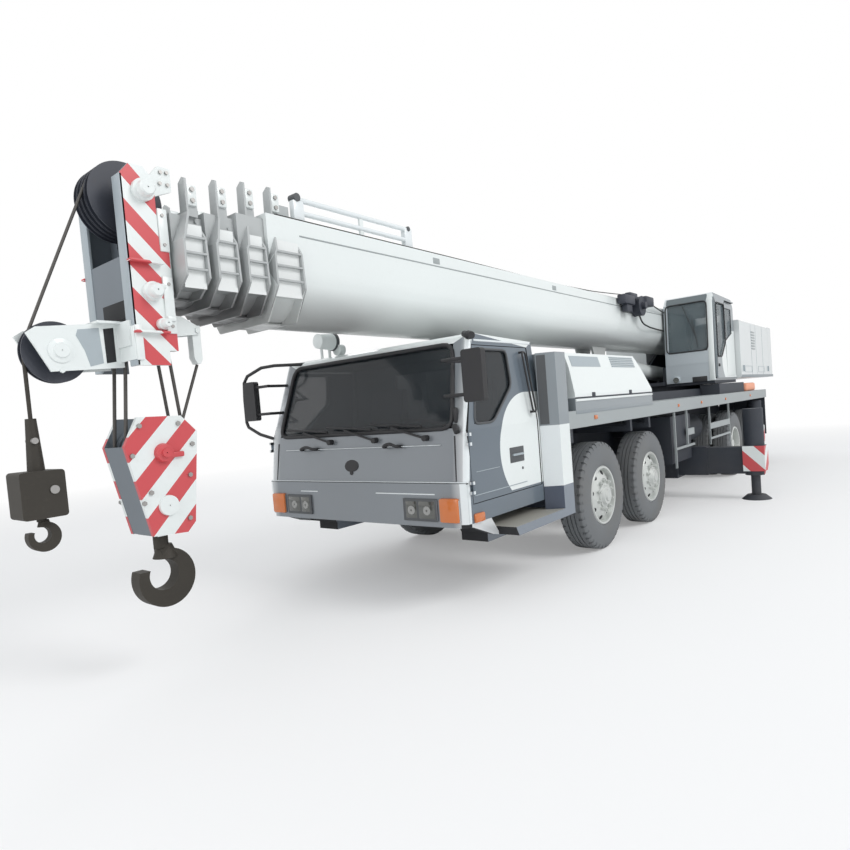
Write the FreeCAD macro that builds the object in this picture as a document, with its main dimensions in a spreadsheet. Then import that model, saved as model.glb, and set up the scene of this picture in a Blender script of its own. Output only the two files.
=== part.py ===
# Mobile crane on a four-axle carrier, with a five-section telescopic boom.
# Millimetres. +X points forward, +Y to the vehicle's left, +Z up. The origin is on the ground
# below the middle of the whole machine. A distance "back" is measured rearwards from the face
# of the front bumper.

import FreeCAD
import Part
import Sketcher
import math
import os

Vector = FreeCAD.Vector
Rotation = FreeCAD.Rotation

# Driving dimensions: name, value in millimetres (or degrees, or a count), meaning
SIZES = (
    ("front_ahead", 4780, "bumper face ahead of the origin"),
    ("body_half", 1360, "half the travel width over the deck rails"),
    ("seat_gap", 0.3, "gap at a seat between two pieces"),
    ("move_gap", 6, "gap round a moving piece"),
    ("sheet", 20, "thickness of pressed covers"),
    # Carrier frame and deck
    ("frame_half", 430, "half width over the two main rails"),
    ("rail_width", 100, "width of a main rail"),
    ("frame_low", 760, "underside of the main rails"),
    ("frame_high", 1180, "top of the main rails under the cab and engine"),
    ("frame_front", 700, "front end of the rails, back from the bumper"),
    ("frame_drop", 560, "underside of the rails below the cab"),
    ("deck_front", 1500, "front end of the side rails"),
    ("deck_rear", 10860, "rear end of the deck"),
    ("deck_low", 1314, "underside of the side rails"),
    ("deck_high", 1479, "top of the deck"),
    ("deck_plate", 40, "thickness of the deck"),
    ("edge_width", 60, "width of a side rail"),
    ("platform_front", 3950, "front of the raised platform"),
    ("platform_rear", 10200, "rear of the raised platform"),
    ("platform_half", 950, "half width of the raised platform"),
    ("platform_high", 1600, "top of the raised platform"),
    # Wheels and axles
    ("axle_one", 2361, "first axle, back from the bumper"),
    ("steer_pitch", 1467, "between the two steered axles"),
    ("axle_three", 8300, "third axle, back from the bumper"),
    ("drive_pitch", 1350, "between the two driven axles"),
    ("tyre_radius", 564, "outer radius of a tyre"),
    ("tyre_width", 290, "width of one tyre"),
    ("rim_radius", 300, "radius of the rim's flange"),
    ("wheel_face", 1293, "outer side of every wheel"),
    ("dual_pitch", 330, "between twin tyres"),
    ("kingpin_side", 915, "kingpin, out from the middle"),
    ("kingpin_radius", 32, "radius of a kingpin"),
    ("spindle_radius", 55, "radius of a wheel spindle"),
    ("run_gap", 0.08, "radial clearance of a running fit"),
    ("hub_radius", 140, "radius of a wheel hub"),
    ("hole_ring", 210, "ring of hand holes in a wheel disc"),
    ("hole_radius", 30, "radius of a hand hole"),
    # Carrier cab
    ("cab_half", 1200, "half width of the cab at its belt line"),
    ("cab_low", 700, "underside of the cab"),
    ("cab_floor", 830, "cab floor"),
    ("belt", 1420, "lower edge of the windscreen"),
    ("brow", 2160, "upper edge of the windscreen"),
    ("roof_front", 2185, "top of the roof at its front"),
    ("roof_rear", 2145, "top of the roof at its rear"),
    ("roof_half", 1118, "half width of the roof"),
    ("nose_back", 25, "front panel, back from the bumper"),
    ("belt_back", 80, "windscreen foot, back from the bumper"),
    ("brow_back", 300, "windscreen head, back from the bumper"),
    ("cab_length", 1290, "rear wall of the cab, back from the bumper"),
    ("cab_wall", 45, "thickness of the cab walls and doors"),
    ("glass_depth", 14, "glass below the outer skin"),
    ("glass_thick", 6, "thickness of the glass"),
    ("screen_low", 1440, "lower edge of the windscreen opening"),
    ("screen_high", 2115, "upper edge of the windscreen opening"),
    ("screen_foot", 1062, "half width of the windscreen at its foot"),
    ("screen_head", 985, "half width of the windscreen at its head"),
    ("door_front", 95, "front edge of a door, back from the bumper"),
    ("door_rear", 1180, "rear edge of a door"),
    ("door_low", 850, "lower edge of a door"),
    ("door_high", 2085, "upper edge of a door"),
    ("hinge_back", 92, "door hinge, back from the bumper"),
    ("hinge_side", 1218, "door hinge, out from the middle"),
    ("bumper_low", 670, "underside of the bumper"),
    ("bumper_high", 1015, "top of the bumper"),
    ("bumper_depth", 150, "bumper from front to back"),
    ("bumper_half", 1195, "half width of the bumper"),
    # Step boxes, pillars and hood
    ("box_front", 1215, "front corner of a step box at the cab's side"),
    ("box_facet", 1300, "front corner of a step box at its outer side"),
    ("box_rear", 1500, "rear of a step box"),
    ("box_low", 620, "underside of a locker"),
    ("step_low", 535, "underside of a step box"),
    ("step_front", 430, "front end of a step, back from the bumper"),
    ("box_high", 1375, "top of a step box"),
    ("pillar_high", 2030, "top of the pillar behind the cab"),
    ("hood_front", 1660, "front of the engine hood"),
    ("hood_rear_high", 3470, "rear of the hood at its top"),
    ("hood_rear", 3800, "rear of the hood at its foot"),
    ("hood_high", 2040, "top of the engine hood"),
    ("shoulder_rise", 161, "height of the grey band on the hood, above the deck"),
    # Outriggers
    ("outrigger_front", 5860, "middle of the front outrigger box"),
    ("outrigger_rear", 10570, "middle of the rear outrigger box"),
    ("outrigger_low", 300, "underside of an outrigger box"),
    ("outrigger_high", 800, "top of an outrigger box"),
    ("outrigger_length", 560, "outrigger box from front to back"),
    ("outrigger_half", 1060, "half width of an outrigger box"),
    ("beam_thick", 210, "outrigger beam from front to back"),
    ("beam_wall", 30, "wall of an outrigger box"),
    ("beam_low", 340, "underside of an outrigger beam"),
    ("beam_high", 750, "top of an outrigger beam"),
    ("jack_side", 1200, "jack, out from the middle with the beam in"),
    ("jack_radius", 130, "radius of a jack's housing"),
    ("jack_high", 1265, "top of a jack's housing"),
    ("leg_radius", 60, "radius of a jack's leg"),
    ("float_radius", 190, "radius of a float"),
    ("float_thick", 60, "thickness of a float"),
    ("front_reach", 870, "how far the front beams are out as parked"),
    ("leg_stored", 250, "underside of a rear float as parked"),
    # Slewing upper works
    ("slew_back", 8200, "slewing axis, back from the bumper"),
    ("slew_radius", 780, "radius of the slewing ring"),
    ("slew_seat", 1650, "joint face of the slewing ring"),
    ("upper_floor", 1700, "underside of the upper frame"),
    ("upper_plate", 60, "floor plate of the upper frame"),
    ("upper_front", 7250, "front of the upper frame"),
    ("cheek_inner", 400, "inner face of the boom's cheeks"),
    ("cheek_thick", 50, "thickness of a cheek"),
    ("foot_back", 10600, "boom foot pin, back from the bumper"),
    ("foot_high", 2600, "boom foot pin above the ground"),
    ("foot_radius", 70, "radius of the boom foot pin"),
    ("tail_back", 12130, "tail of the upper works"),
    ("body_front", 8975, "front of the upper body"),
    ("upper_half", 1300, "half width of the upper body"),
    ("upper_low", 1740, "underside of the upper body"),
    ("upper_high", 2830, "top of the upper body"),
    ("weight_front", 11720, "front of the counterweight"),
    ("winch_back", 11440, "winch axis, back from the bumper"),
    ("winch_high", 2330, "winch axis above the ground"),
    ("winch_radius", 200, "radius over a winch's rope"),
    # Operator's cab
    ("op_front", 7369, "front of the operator's cab"),
    ("op_rear", 8955, "rear of the operator's cab"),
    ("op_inner", 425, "inner side of the operator's cab"),
    ("op_outer", 1250, "outer side of the operator's cab"),
    ("op_low", 1720, "underside of the operator's cab"),
    ("op_height", 1490, "operator's cab from its underside to the roof"),
    ("op_wall", 35, "wall of the operator's cab"),
    ("op_screen_low", 2050, "lower edge of its front window"),
    ("op_door_front", 7460, "front edge of its sliding door"),
    ("op_door_rear", 8150, "rear edge of its sliding door"),
    # Boom
    ("boom_half", 385, "half width of the base section"),
    ("boom_low", 2320, "underside of the base section"),
    ("boom_high", 3060, "top of the base section"),
    ("boom_wall", 10, "wall of a boom section"),
    ("boom_step", 35, "from one section's skin to the next"),
    ("boom_foot", 10850, "rear end of the base section"),
    ("boom_tip", 990, "front of the base section, ahead of the bumper"),
    ("collar_pitch", 220, "from one end collar to the next"),
    ("collar_length", 180, "length of an inner section's end collar"),
    ("base_collar", 270, "length of the base section's end collar"),
    ("flange", 14, "thickness of a collar's flange"),
    ("collar_lean", 90, "how far a collar's upper part stands behind its lower part"),
    ("lug_inner", 255, "inner side of a collar's lug"),
    ("lug_outer", 335, "outer side of a collar's lug"),
    ("boss_high", 2120, "rod eye of the lift cylinder above the ground"),
    ("boss_back", 5200, "rod eye of the lift cylinder, back from the bumper"),
    ("heel_high", 1905, "lower pin of the lift cylinder above the ground"),
    ("heel_back", 8900, "lower pin of the lift cylinder, back from the bumper"),
    ("barrel_radius", 135, "radius of the lift cylinder"),
    ("rod_radius", 85, "radius of its rod"),
    ("barrel_length", 3056, "length of the lift cylinder's barrel"),
    # Boom head
    ("head_half", 290, "half width over the head's side plates"),
    ("head_plate", 30, "thickness of a side plate"),
    ("head_rear", 1740, "rear edge of the side plates, ahead of the bumper"),
    ("head_front", 1945, "front edge of the side plates, ahead of the bumper"),
    ("head_low", 2000, "lower end of the side plates"),
    ("head_high", 3200, "upper end of the side plates"),
    ("sheave_ahead", 1820, "upper head sheaves, ahead of the bumper"),
    ("sheave_high", 3050, "upper head sheaves above the ground"),
    ("sheave_radius", 230, "radius of the head sheaves"),
    ("lower_high", 2445, "lower head pin above the ground"),
    ("nose_reach", 345, "nose sheave, ahead of the head's front edge"),
    ("nose_high", 2100, "nose sheave above the ground"),
    ("nose_radius", 177, "radius of the nose sheave"),
    ("nose_half", 100, "half width over the nose's plates"),
    # Hooks
    ("hang_ahead", 1775, "where the main hook hangs from, ahead of the bumper"),
    ("hang_high", 2250, "where the main hook hangs from, above the ground"),
    ("fall_spread", 125, "rope falls at the guide wheels, from the middle"),
    ("block_spread", 201, "rope falls at the hook block, from the middle"),
    ("block_high", 1460, "sheave pin of the hook block above the ground"),
    ("block_half", 150, "half thickness of the hook block"),
    ("rope_side", 75, "rope falls from the centre line"),
    ("rope_radius", 11, "radius of the hoist rope"),
    ("small_reach", 158, "small hook's rope, ahead of the nose sheave's middle"),
)


class Size:
    """A length with its value now and the sheet's formula for it."""

    def __init__(self, formula, value):
        self.formula = formula
        self.value = value

    def join(self, other, sign, value):
        return Size(f"({self.formula} {sign} {size(other).formula})", value)

    def __add__(self, other):
        return self.join(other, "+", self.value + size(other).value)

    def __sub__(self, other):
        return self.join(other, "-", self.value - size(other).value)

    def __mul__(self, other):
        return self.join(other, "*", self.value * size(other).value)

    def __truediv__(self, other):
        return self.join(other, "/", self.value / size(other).value)

    def __radd__(self, other):
        return size(other) + self

    def __rsub__(self, other):
        return size(other) - self

    def __rmul__(self, other):
        return size(other) * self

    def __neg__(self):
        return Size(f"(0 - {self.formula})", -self.value)


def size(item):
    if isinstance(item, Size):
        return item
    return Size(repr(float(item)), float(item))


doc = FreeCAD.newDocument("MobileCrane")
sheet = doc.addObject("Spreadsheet::Sheet", "Sizes")


class Sizes:
    """Each driving dimension as an attribute."""


S = Sizes()
for row, (alias, number, meaning) in enumerate(SIZES, 1):
    sheet.set(f"A{row}", meaning)
    sheet.set(f"B{row}", str(number))
    sheet.setAlias(f"B{row}", alias)
    setattr(S, alias, Size(f"Sizes.{alias}", float(number)))
doc.recompute()

# sizes that follow from others
S.hood_shoulder = S.deck_high + S.shoulder_rise
S.op_high = S.op_low + S.op_height
S.nose_ahead = S.head_front + S.nose_reach
S.small_ahead = S.nose_ahead + S.small_reach

PLANES = {
    "XY": Rotation(),
    "XZ": Rotation(Vector(1, 0, 0), 90),
    "YZ": Rotation(Vector(1, 1, 1), 120),
}
NORMALS = {"XY": Vector(0, 0, 1), "XZ": Vector(0, 1, 0), "YZ": Vector(1, 0, 0)}
NORMAL_LETTER = {"XY": "z", "XZ": "y", "YZ": "x"}
AXIS_TURN = {
    "X": Rotation(Vector(0, 1, 0), 90),
    "Y": Rotation(Vector(1, 0, 0), -90),
    "Z": Rotation(),
}


def back(distance):
    """X of a point so far behind the bumper's face."""
    return S.front_ahead - distance


def ahead(distance):
    """X of a point so far in front of the bumper's face."""
    return S.front_ahead + distance


def bind(item, prop, amount, unit="mm"):
    item.setExpression(prop, f"{size(amount).formula} * 1 {unit}")


def place(item, at, turn=None):
    item.Placement = FreeCAD.Placement(Vector(*[size(v).value for v in at]), turn or Rotation())
    for letter, amount in zip("xyz", at):
        bind(item, f"Placement.Base.{letter}", amount)


def box(x, y, z):
    """A block between the two ends given on each axis."""
    item = doc.addObject("Part::Box", "Block")
    for prop, (low, high) in zip(("Length", "Width", "Height"), (x, y, z)):
        bind(item, prop, size(high) - low)
    place(item, (x[0], y[0], z[0]))
    return item


def rod(axis, radius, at, length):
    """A cylinder along an axis, from a point."""
    item = doc.addObject("Part::Cylinder", "Round")
    bind(item, "Radius", radius)
    bind(item, "Height", length)
    place(item, at, AXIS_TURN[axis])
    return item


def cone(axis, radius, end_radius, at, length):
    item = doc.addObject("Part::Cone", "Taper")
    bind(item, "Radius1", radius)
    bind(item, "Radius2", end_radius)
    bind(item, "Height", length)
    place(item, at, AXIS_TURN[axis])
    return item


def fixed_point(drawing, geometry, vertex, point):
    for kind, amount in (("DistanceX", point[0]), ("DistanceY", point[1])):
        value = size(amount).value
        index = drawing.addConstraint(Sketcher.Constraint(kind, -1, 1, geometry, vertex, value))
        bind(drawing, f"Constraints[{index}]", amount)


def draw_loop(drawing, points):
    """A closed run of straight lines through the points."""
    first = drawing.GeometryCount
    places = [Vector(size(a).value, size(b).value, 0) for a, b in points]
    count = len(points)
    for number in range(count):
        drawing.addGeometry(Part.LineSegment(places[number], places[(number + 1) % count]))
    for number in range(count):
        following = first + (number + 1) % count
        drawing.addConstraint(Sketcher.Constraint("Coincident", first + number, 2, following, 1))
    for number, point in enumerate(points):
        fixed_point(drawing, first + number, 1, point)


def draw_trough(drawing, half, low, high):
    """The boom's section: a half round below, upright sides and a flat top."""
    first = drawing.GeometryCount
    radius = half.value
    centre = low + half
    middle = Vector(0, centre.value, 0)
    corners = (Vector(-radius, high.value, 0), Vector(radius, high.value, 0))
    ends = (Vector(-radius, centre.value, 0), Vector(radius, centre.value, 0))
    drawing.addGeometry(Part.LineSegment(ends[0], corners[0]))
    drawing.addGeometry(Part.LineSegment(corners[0], corners[1]))
    drawing.addGeometry(Part.LineSegment(corners[1], ends[1]))
    circle = Part.Circle(middle, Vector(0, 0, 1), radius)
    drawing.addGeometry(Part.ArcOfCircle(circle, math.pi, 2 * math.pi))
    arc = first + 3
    for one, two in (((first, 2), (first + 1, 1)), ((first + 1, 2), (first + 2, 1))):
        drawing.addConstraint(Sketcher.Constraint("Coincident", *one, *two))
    drawing.addConstraint(Sketcher.Constraint("Coincident", first + 2, 2, arc, 2))
    drawing.addConstraint(Sketcher.Constraint("Coincident", arc, 1, first, 1))
    fixed_point(drawing, first, 2, (-half, high))
    fixed_point(drawing, first + 1, 2, (half, high))
    fixed_point(drawing, arc, 3, (0, centre))
    drawing.addConstraint(Sketcher.Constraint("Vertical", first))
    drawing.addConstraint(Sketcher.Constraint("Horizontal", arc, 1, arc, 3))
    drawing.addConstraint(Sketcher.Constraint("Horizontal", arc, 2, arc, 3))


def draw_ring(drawing, centre, radius):
    circle = Part.Circle(Vector(*[size(v).value for v in centre], 0), Vector(0, 0, 1),
                         size(radius).value)
    index = drawing.addGeometry(circle)
    fixed_point(drawing, index, 3, centre)
    number = drawing.addConstraint(Sketcher.Constraint("Radius", index, size(radius).value))
    bind(drawing, f"Constraints[{number}]", radius)


def sketch(plane, offset=0):
    drawing = doc.addObject("Sketcher::SketchObject", "Outline")
    drawing.Placement = FreeCAD.Placement(Vector(), PLANES[plane])
    letter = NORMAL_LETTER[plane]
    setattr(drawing.Placement.Base, letter, size(offset).value)
    bind(drawing, f"Placement.Base.{letter}", offset)
    return drawing


def pull(drawing, plane, length):
    """The outline drawn out along its plane's axis."""
    item = doc.addObject("Part::Extrusion", "Drawn")
    item.Base = drawing
    item.DirMode = "Custom"
    item.Dir = NORMALS[plane]
    item.Solid = True
    item.FaceMakerClass = "Part::FaceMakerBullseye"
    bind(item, "LengthFwd", length)
    return item


def plate(plane, points, low, high, holes=()):
    """A plate with a straight-sided outline, between two places on its plane's axis.

    Outline points are (X, Z) for XZ, (Y, Z) for YZ and (X, Y) for XY.
    """
    drawing = sketch(plane, low)
    draw_loop(drawing, points)
    for centre, radius in holes:
        draw_ring(drawing, centre, radius)
    return pull(drawing, plane, size(high) - low)


def turned(axis, at, points):
    """A body of revolution. Each point is (distance along the axis, radius)."""
    drawing = doc.addObject("Sketcher::SketchObject", "Outline")
    draw_loop(drawing, points)
    item = doc.addObject("Part::Revolution", "Turned")
    item.Source = drawing
    item.Axis = Vector(1, 0, 0)
    item.Angle = 360
    item.Solid = True
    turns = {
        "X": Rotation(),
        "Y": Rotation(Vector(0, 0, 1), 90),
        "Z": Rotation(Vector(0, 1, 0), -90),
    }
    return moved(item, at, turns[axis])


def moved(item, at, turn=None):
    copy = doc.addObject("Part::Compound", "Placed")
    copy.Links = [item]
    place(copy, at, turn)
    return copy


def group(items):
    bundle = doc.addObject("Part::Compound", "Group")
    bundle.Links = list(items)
    return bundle


def fuse(*items):
    if len(items) == 1:
        return items[0]
    union = doc.addObject("Part::MultiFuse", "Joined")
    union.Shapes = list(items)
    union.Refine = True
    return union


def cut(base, *tools):
    remainder = doc.addObject("Part::Cut", "Cut")
    remainder.Base = base
    remainder.Tool = fuse(*tools)
    return remainder


def common(one, two):
    overlap = doc.addObject("Part::Common", "Shared")
    overlap.Base = one
    overlap.Tool = two
    return overlap


def mirrored(item):
    """The same piece on the other side of the vehicle."""
    copy = doc.addObject("Part::Mirroring", "OtherSide")
    copy.Source = item
    copy.Normal = Vector(0, 1, 0)
    copy.Base = Vector(0, 0, 0)
    return copy


def both_sides(*items):
    return [piece for item in items for piece in (item, mirrored(item))]


def rounded(item, radius, choose):
    """The piece with the edges that choose(middle, direction) picks rounded off."""
    doc.recompute()
    edges = []
    for number, edge in enumerate(item.Shape.Edges, 1):
        if edge.Curve.TypeId != "Part::GeomLine":
            continue
        middle = edge.valueAt((edge.FirstParameter + edge.LastParameter) / 2)
        direction = edge.tangentAt(edge.FirstParameter)
        if choose(middle, direction):
            edges.append((number, size(radius).value, size(radius).value))
    result = doc.addObject("Part::Fillet", "Rounded")
    result.Base = item
    result.Edges = edges
    return result


nodes = []


def node(name, *items):
    """Names a finished piece. Solids that share a node don't touch."""
    piece = items[0] if len(items) == 1 else group(items)
    final = moved(piece, (0, 0, 0))
    final.Label = name
    nodes.append(final)
    return final


def along(direction, letter):
    return abs(getattr(direction, letter)) > 0.99


# Carrier frame, deck and platform

def make_frame():
    rails = both_sides(plate("XZ", (
        (back(S.frame_front), S.frame_drop),
        (back(S.frame_front), S.cab_low),
        (back(S.cab_length + 20), S.cab_low),
        (back(S.cab_length + 20), S.frame_high),
        (back(S.deck_rear), S.frame_high),
        (back(S.deck_rear), S.frame_low),
        (back(S.cab_length + 460), S.frame_low),
        (back(S.cab_length + 160), S.frame_drop),
    ), S.frame_half - S.rail_width, S.frame_half))
    plate_low = S.deck_high - S.deck_plate
    spine = box((back(S.deck_rear - S.edge_width), back(S.hood_rear)),
                (-S.frame_half, S.frame_half),
                (S.frame_high - 20, plate_low))
    # crossmembers: back from the bumper
    members = [box((back(spot + 60), back(spot)), (-S.frame_half, S.frame_half),
                   (S.frame_low + 60, S.frame_high - 20))
               for spot in (S.cab_length + 40, S.hood_rear, S.slew_back)]
    members.append(box((back(S.frame_front + 60), back(S.frame_front)),
                       (-S.frame_half, S.frame_half), (S.frame_drop + 20, S.cab_low - 20)))
    boxes = []
    for middle in (S.outrigger_front, S.outrigger_rear):
        half = S.outrigger_length / 2
        outer = box((back(middle + half), back(middle - half)),
                    (-S.outrigger_half, S.outrigger_half), (S.outrigger_low, S.outrigger_high))
        hanger = box((back(middle + half), back(middle - half)), (-S.frame_half, S.frame_half),
                     (S.outrigger_high - 20, S.frame_high - 10))
        boxes += [outer, hanger]
    body = fuse(*rails, spine, *members, *boxes)
    tunnels = []
    for middle in (S.outrigger_front, S.outrigger_rear):
        for side in (1, -1):
            low, high = lane(middle, side)
            ends = (-S.outrigger_half + S.beam_wall, S.outrigger_half + 50)
            if side < 0:
                ends = (-ends[1], -ends[0])
            tunnels.append(box((low - S.move_gap, high + S.move_gap), ends,
                               (S.beam_low - S.seat_gap, S.beam_high + S.move_gap)))
    return cut(body, *tunnels)


def lane(middle, side):
    """X range of one outrigger beam: the left beam runs in front of the right one."""
    offset = (S.beam_thick / 2 + S.move_gap + 8) * side
    centre = back(middle) + offset
    return centre - S.beam_thick / 2, centre + S.beam_thick / 2


def make_deck():
    plate_low = S.deck_high - S.deck_plate
    floor = box((back(S.deck_rear), back(S.hood_rear)), (-S.body_half, S.body_half),
                (plate_low, S.deck_high))
    edges = both_sides(box((back(S.deck_rear), back(S.deck_front)),
                           (S.body_half - S.edge_width, S.body_half),
                           (S.deck_low, S.deck_high)))
    tail = box((back(S.deck_rear), back(S.deck_rear - S.edge_width)), (-S.body_half, S.body_half),
               (S.deck_low, S.deck_high))
    # brackets from the main rails to the side rails beside the engine
    brackets = []
    for spot in (S.deck_front + 60, S.axle_one + S.steer_pitch / 2, S.hood_rear - 100):
        brackets += both_sides(box((back(spot + 60), back(spot)),
                                   (S.frame_half - 60, S.body_half - 30),
                                   (S.frame_high, S.frame_high + 60)))
        brackets += both_sides(box((back(spot + 60), back(spot)),
                                   (S.body_half - S.edge_width - 20, S.body_half - 30),
                                   (S.frame_high + 10, S.deck_low + 20)))
    screens = both_sides(box((back(S.deck_rear), back(S.deck_rear - 25)),
                             (S.frame_half + S.seat_gap, S.wheel_face - 573),
                             (S.outrigger_high + 10, plate_low + 10)))
    return fuse(floor, *edges, tail, *brackets, *screens)


def make_platform():
    block = box((back(S.platform_rear), back(S.platform_front)),
                (-S.platform_half, S.platform_half), (S.deck_high, S.platform_high))
    ring = rod("Z", S.slew_radius, (back(S.slew_back), 0, S.platform_high - 10),
               S.slew_seat - S.platform_high + 10)
    valves = both_sides(box((back(9350), back(7500)), (S.platform_half - 10, S.body_half - 110),
                            (S.deck_high, S.upper_floor - 40)))
    return fuse(block, ring, *valves)


# Carrier cab

def cab_form(inset, low, side_inset=None):
    """The cab's outer shape moved inwards, by another distance at its two sides if given."""
    side_inset = inset if side_inset is None else side_inset
    side = plate("XZ", (
        (back(S.nose_back + inset), low),
        (back(S.nose_back + inset), S.bumper_high),
        (back(S.belt_back + inset), S.belt),
        (back(S.brow_back + inset), S.brow - inset),
        (back(S.brow_back + 60 + inset), S.roof_front - inset),
        (back(S.cab_length - inset), S.roof_rear - inset),
        (back(S.cab_length - inset), low),
    ), -S.cab_half, S.cab_half)
    front = plate("YZ", (
        (-S.cab_half + side_inset, low),
        (S.cab_half - side_inset, low),
        (S.cab_half - side_inset, S.belt),
        (S.roof_half - side_inset, S.roof_front + 60),
        (-S.roof_half + side_inset, S.roof_front + 60),
        (-S.cab_half + side_inset, S.belt),
    ), back(S.cab_length + 60), back(-50))
    return common(side, front)


def door_slab(gap, depth):
    """The side walls within the doors' edges. The rear edge swings, so its gap is three times as wide."""
    ring = cut(cab_form(size(0), S.cab_low), cab_form(size(-20), S.cab_low - 10, depth))
    outline = plate("XZ", (
        (back(S.door_front - gap), S.door_low - gap),
        (back(S.door_front - gap), S.belt),
        (back(S.brow_back + 25 - gap), S.door_high + gap),
        (back(S.door_rear + gap * 3), S.door_high + gap),
        (back(S.door_rear + gap * 3), S.door_low - gap),
    ), S.roof_half - 150, S.cab_half + 50)
    return common(ring, outline)


def door_hinge(height):
    """One hinge outside the cab's skin: the cab's half with the pin, and the door's half."""
    at = (back(S.hinge_back), S.hinge_side)
    side = (S.cab_half - 2, S.hinge_side)
    pin = rod("Z", 8, (*at, height - 50), 100)
    ends = []
    for low, high in ((-50, -25 - S.seat_gap), (25 + S.seat_gap, 50)):
        ends.append(rod("Z", 14, (*at, height + low), size(high) - low))
        ends.append(box((at[0], at[0] + 38), side, (height + low, height + high)))
    barrel = fuse(rod("Z", 14, (*at, height - 25), 50),
                  box((at[0] - 38, at[0]), side, (height - 25, height + 25)))
    return fuse(pin, *ends), cut(barrel, rod("Z", 8 + S.run_gap, (*at, height - 30), 60))


def door_window():
    return plate("XZ", (
        (back(S.door_front + 95), S.screen_low + 20),
        (back(S.door_front + 370), S.screen_low + 20),
        (back(S.door_rear - 350), S.screen_low + 310),
        (back(S.door_rear - 350), S.door_high - 30),
        (back(S.brow_back + 60), S.door_high - 30),
    ), S.roof_half - 200, S.cab_half + 50)


def windscreen_hole():
    return plate("YZ", (
        (-S.screen_foot, S.screen_low),
        (S.screen_foot, S.screen_low),
        (S.screen_head, S.screen_high),
        (-S.screen_head, S.screen_high),
    ), back(S.brow_back + 200), back(-50))


def rear_window():
    return box((back(S.cab_length + 50), back(S.cab_length - 100)), (-520, 520),
               (S.screen_low + 60, S.screen_high - 120))


def make_cab():
    skin = rounded(cab_form(size(0), S.cab_low), 45,
                   lambda middle, direction: abs(middle.y) > 1050
                   and middle.x > S.front_ahead.value - 320 and abs(direction.z) > 0.5)
    walls = cut(skin, cab_form(S.cab_wall, S.cab_floor))
    doorways = both_sides(door_slab(S.move_gap, S.cab_wall + S.move_gap))
    hinges = [door_hinge(height) for height in (S.bumper_high - 40, S.belt - 70)]
    shell = fuse(cut(walls, *doorways, windscreen_hole(), rear_window()),
                 *both_sides(*[fixed for fixed, _ in hinges]))
    pane = cut(cab_form(S.glass_depth, S.cab_low), cab_form(S.glass_depth + S.glass_thick,
                                                            S.cab_low - 10))
    glass = [common(pane, windscreen_hole()), common(pane, rear_window())]
    leaf = door_slab(size(0), S.cab_wall)
    door_pane = common(pane, door_window())
    doors = [fuse(cut(leaf, door_window()), *[moving for _, moving in hinges]), door_pane]
    return shell, glass, doors


def make_bumper():
    outline = (
        (back(0), -S.bumper_half + 60),
        (back(0), S.bumper_half - 60),
        (back(60), S.bumper_half),
        (back(S.bumper_depth + 100), S.bumper_half),
        (back(S.bumper_depth + 100), S.bumper_half - 60),
        (back(S.bumper_depth - 80), S.bumper_half - 90),
        (back(S.bumper_depth - 80), -S.bumper_half + 90),
        (back(S.bumper_depth + 100), -S.bumper_half + 60),
        (back(S.bumper_depth + 100), -S.bumper_half),
        (back(60), -S.bumper_half),
    )
    return plate("XY", outline, S.bumper_low, S.cab_low)


def lamp_hole(low, high):
    return box((back(30), back(-20)), (low, high), (715, 895))


def make_face():
    """The bumper: a lower lip and the lamp panel in front of the cab's front wall."""
    panel = plate("XY", (
        (back(0), -S.bumper_half + 50),
        (back(0), S.bumper_half - 50),
        (back(S.nose_back - S.seat_gap), S.bumper_half),
        (back(S.nose_back - S.seat_gap), -S.bumper_half),
    ), S.cab_low, S.bumper_high)
    wings = both_sides(plate("XZ", (
        (back(60), S.bumper_low + 5),
        (back(60), S.cab_low),
        (back(330), S.cab_low),
        (back(S.step_front - S.move_gap), 570),
        (back(S.step_front - S.move_gap), 545),
        (back(S.step_front - 90), 565),
    ), S.bumper_half - 60, S.bumper_half))
    return fuse(make_bumper(), panel, *wings)


def make_lamps():
    lamps = []
    for side in (1, -1):
        # headlamp pair and corner indicator: inner side, outer side
        for inner, outer in ((575, 920), (950, 1135)):
            ends = (inner, outer) if side > 0 else (-outer, -inner)
            lamps.append(box((back(-S.seat_gap), back(-14)), ends, (720, 890)))
    flood = rod("X", 55, (back(480), -500, S.boom_low - S.move_gap * 2 - 55), 70)
    foot = box((back(470), back(430)), (-515, -485), (S.roof_front - 30, S.roof_front + 60))
    lamps.append(cut(fuse(flood, foot), cab_form(size(0), S.cab_low)))
    return lamps


def make_mirror():
    """Mirror head on a loop of tube ahead of the door's hinge."""
    head = box((back(30), back(-30)), (1270, 1450), (S.screen_low + 190, S.screen_low + 580))
    head = rounded(head, 25, lambda middle, direction: along(direction, "x"))
    arms = []
    # arm heights above the lower edge of the windscreen
    for height in (250, 520):
        arms.append(rod("Y", 14, (back(0), S.roof_half - 47, S.screen_low + height), 210))
        arms.append(rod("X", 14, (back(280), S.roof_half - 33, S.screen_low + height), 284))
    return cut(fuse(head, *arms), cab_form(size(0), S.cab_low))


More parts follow.
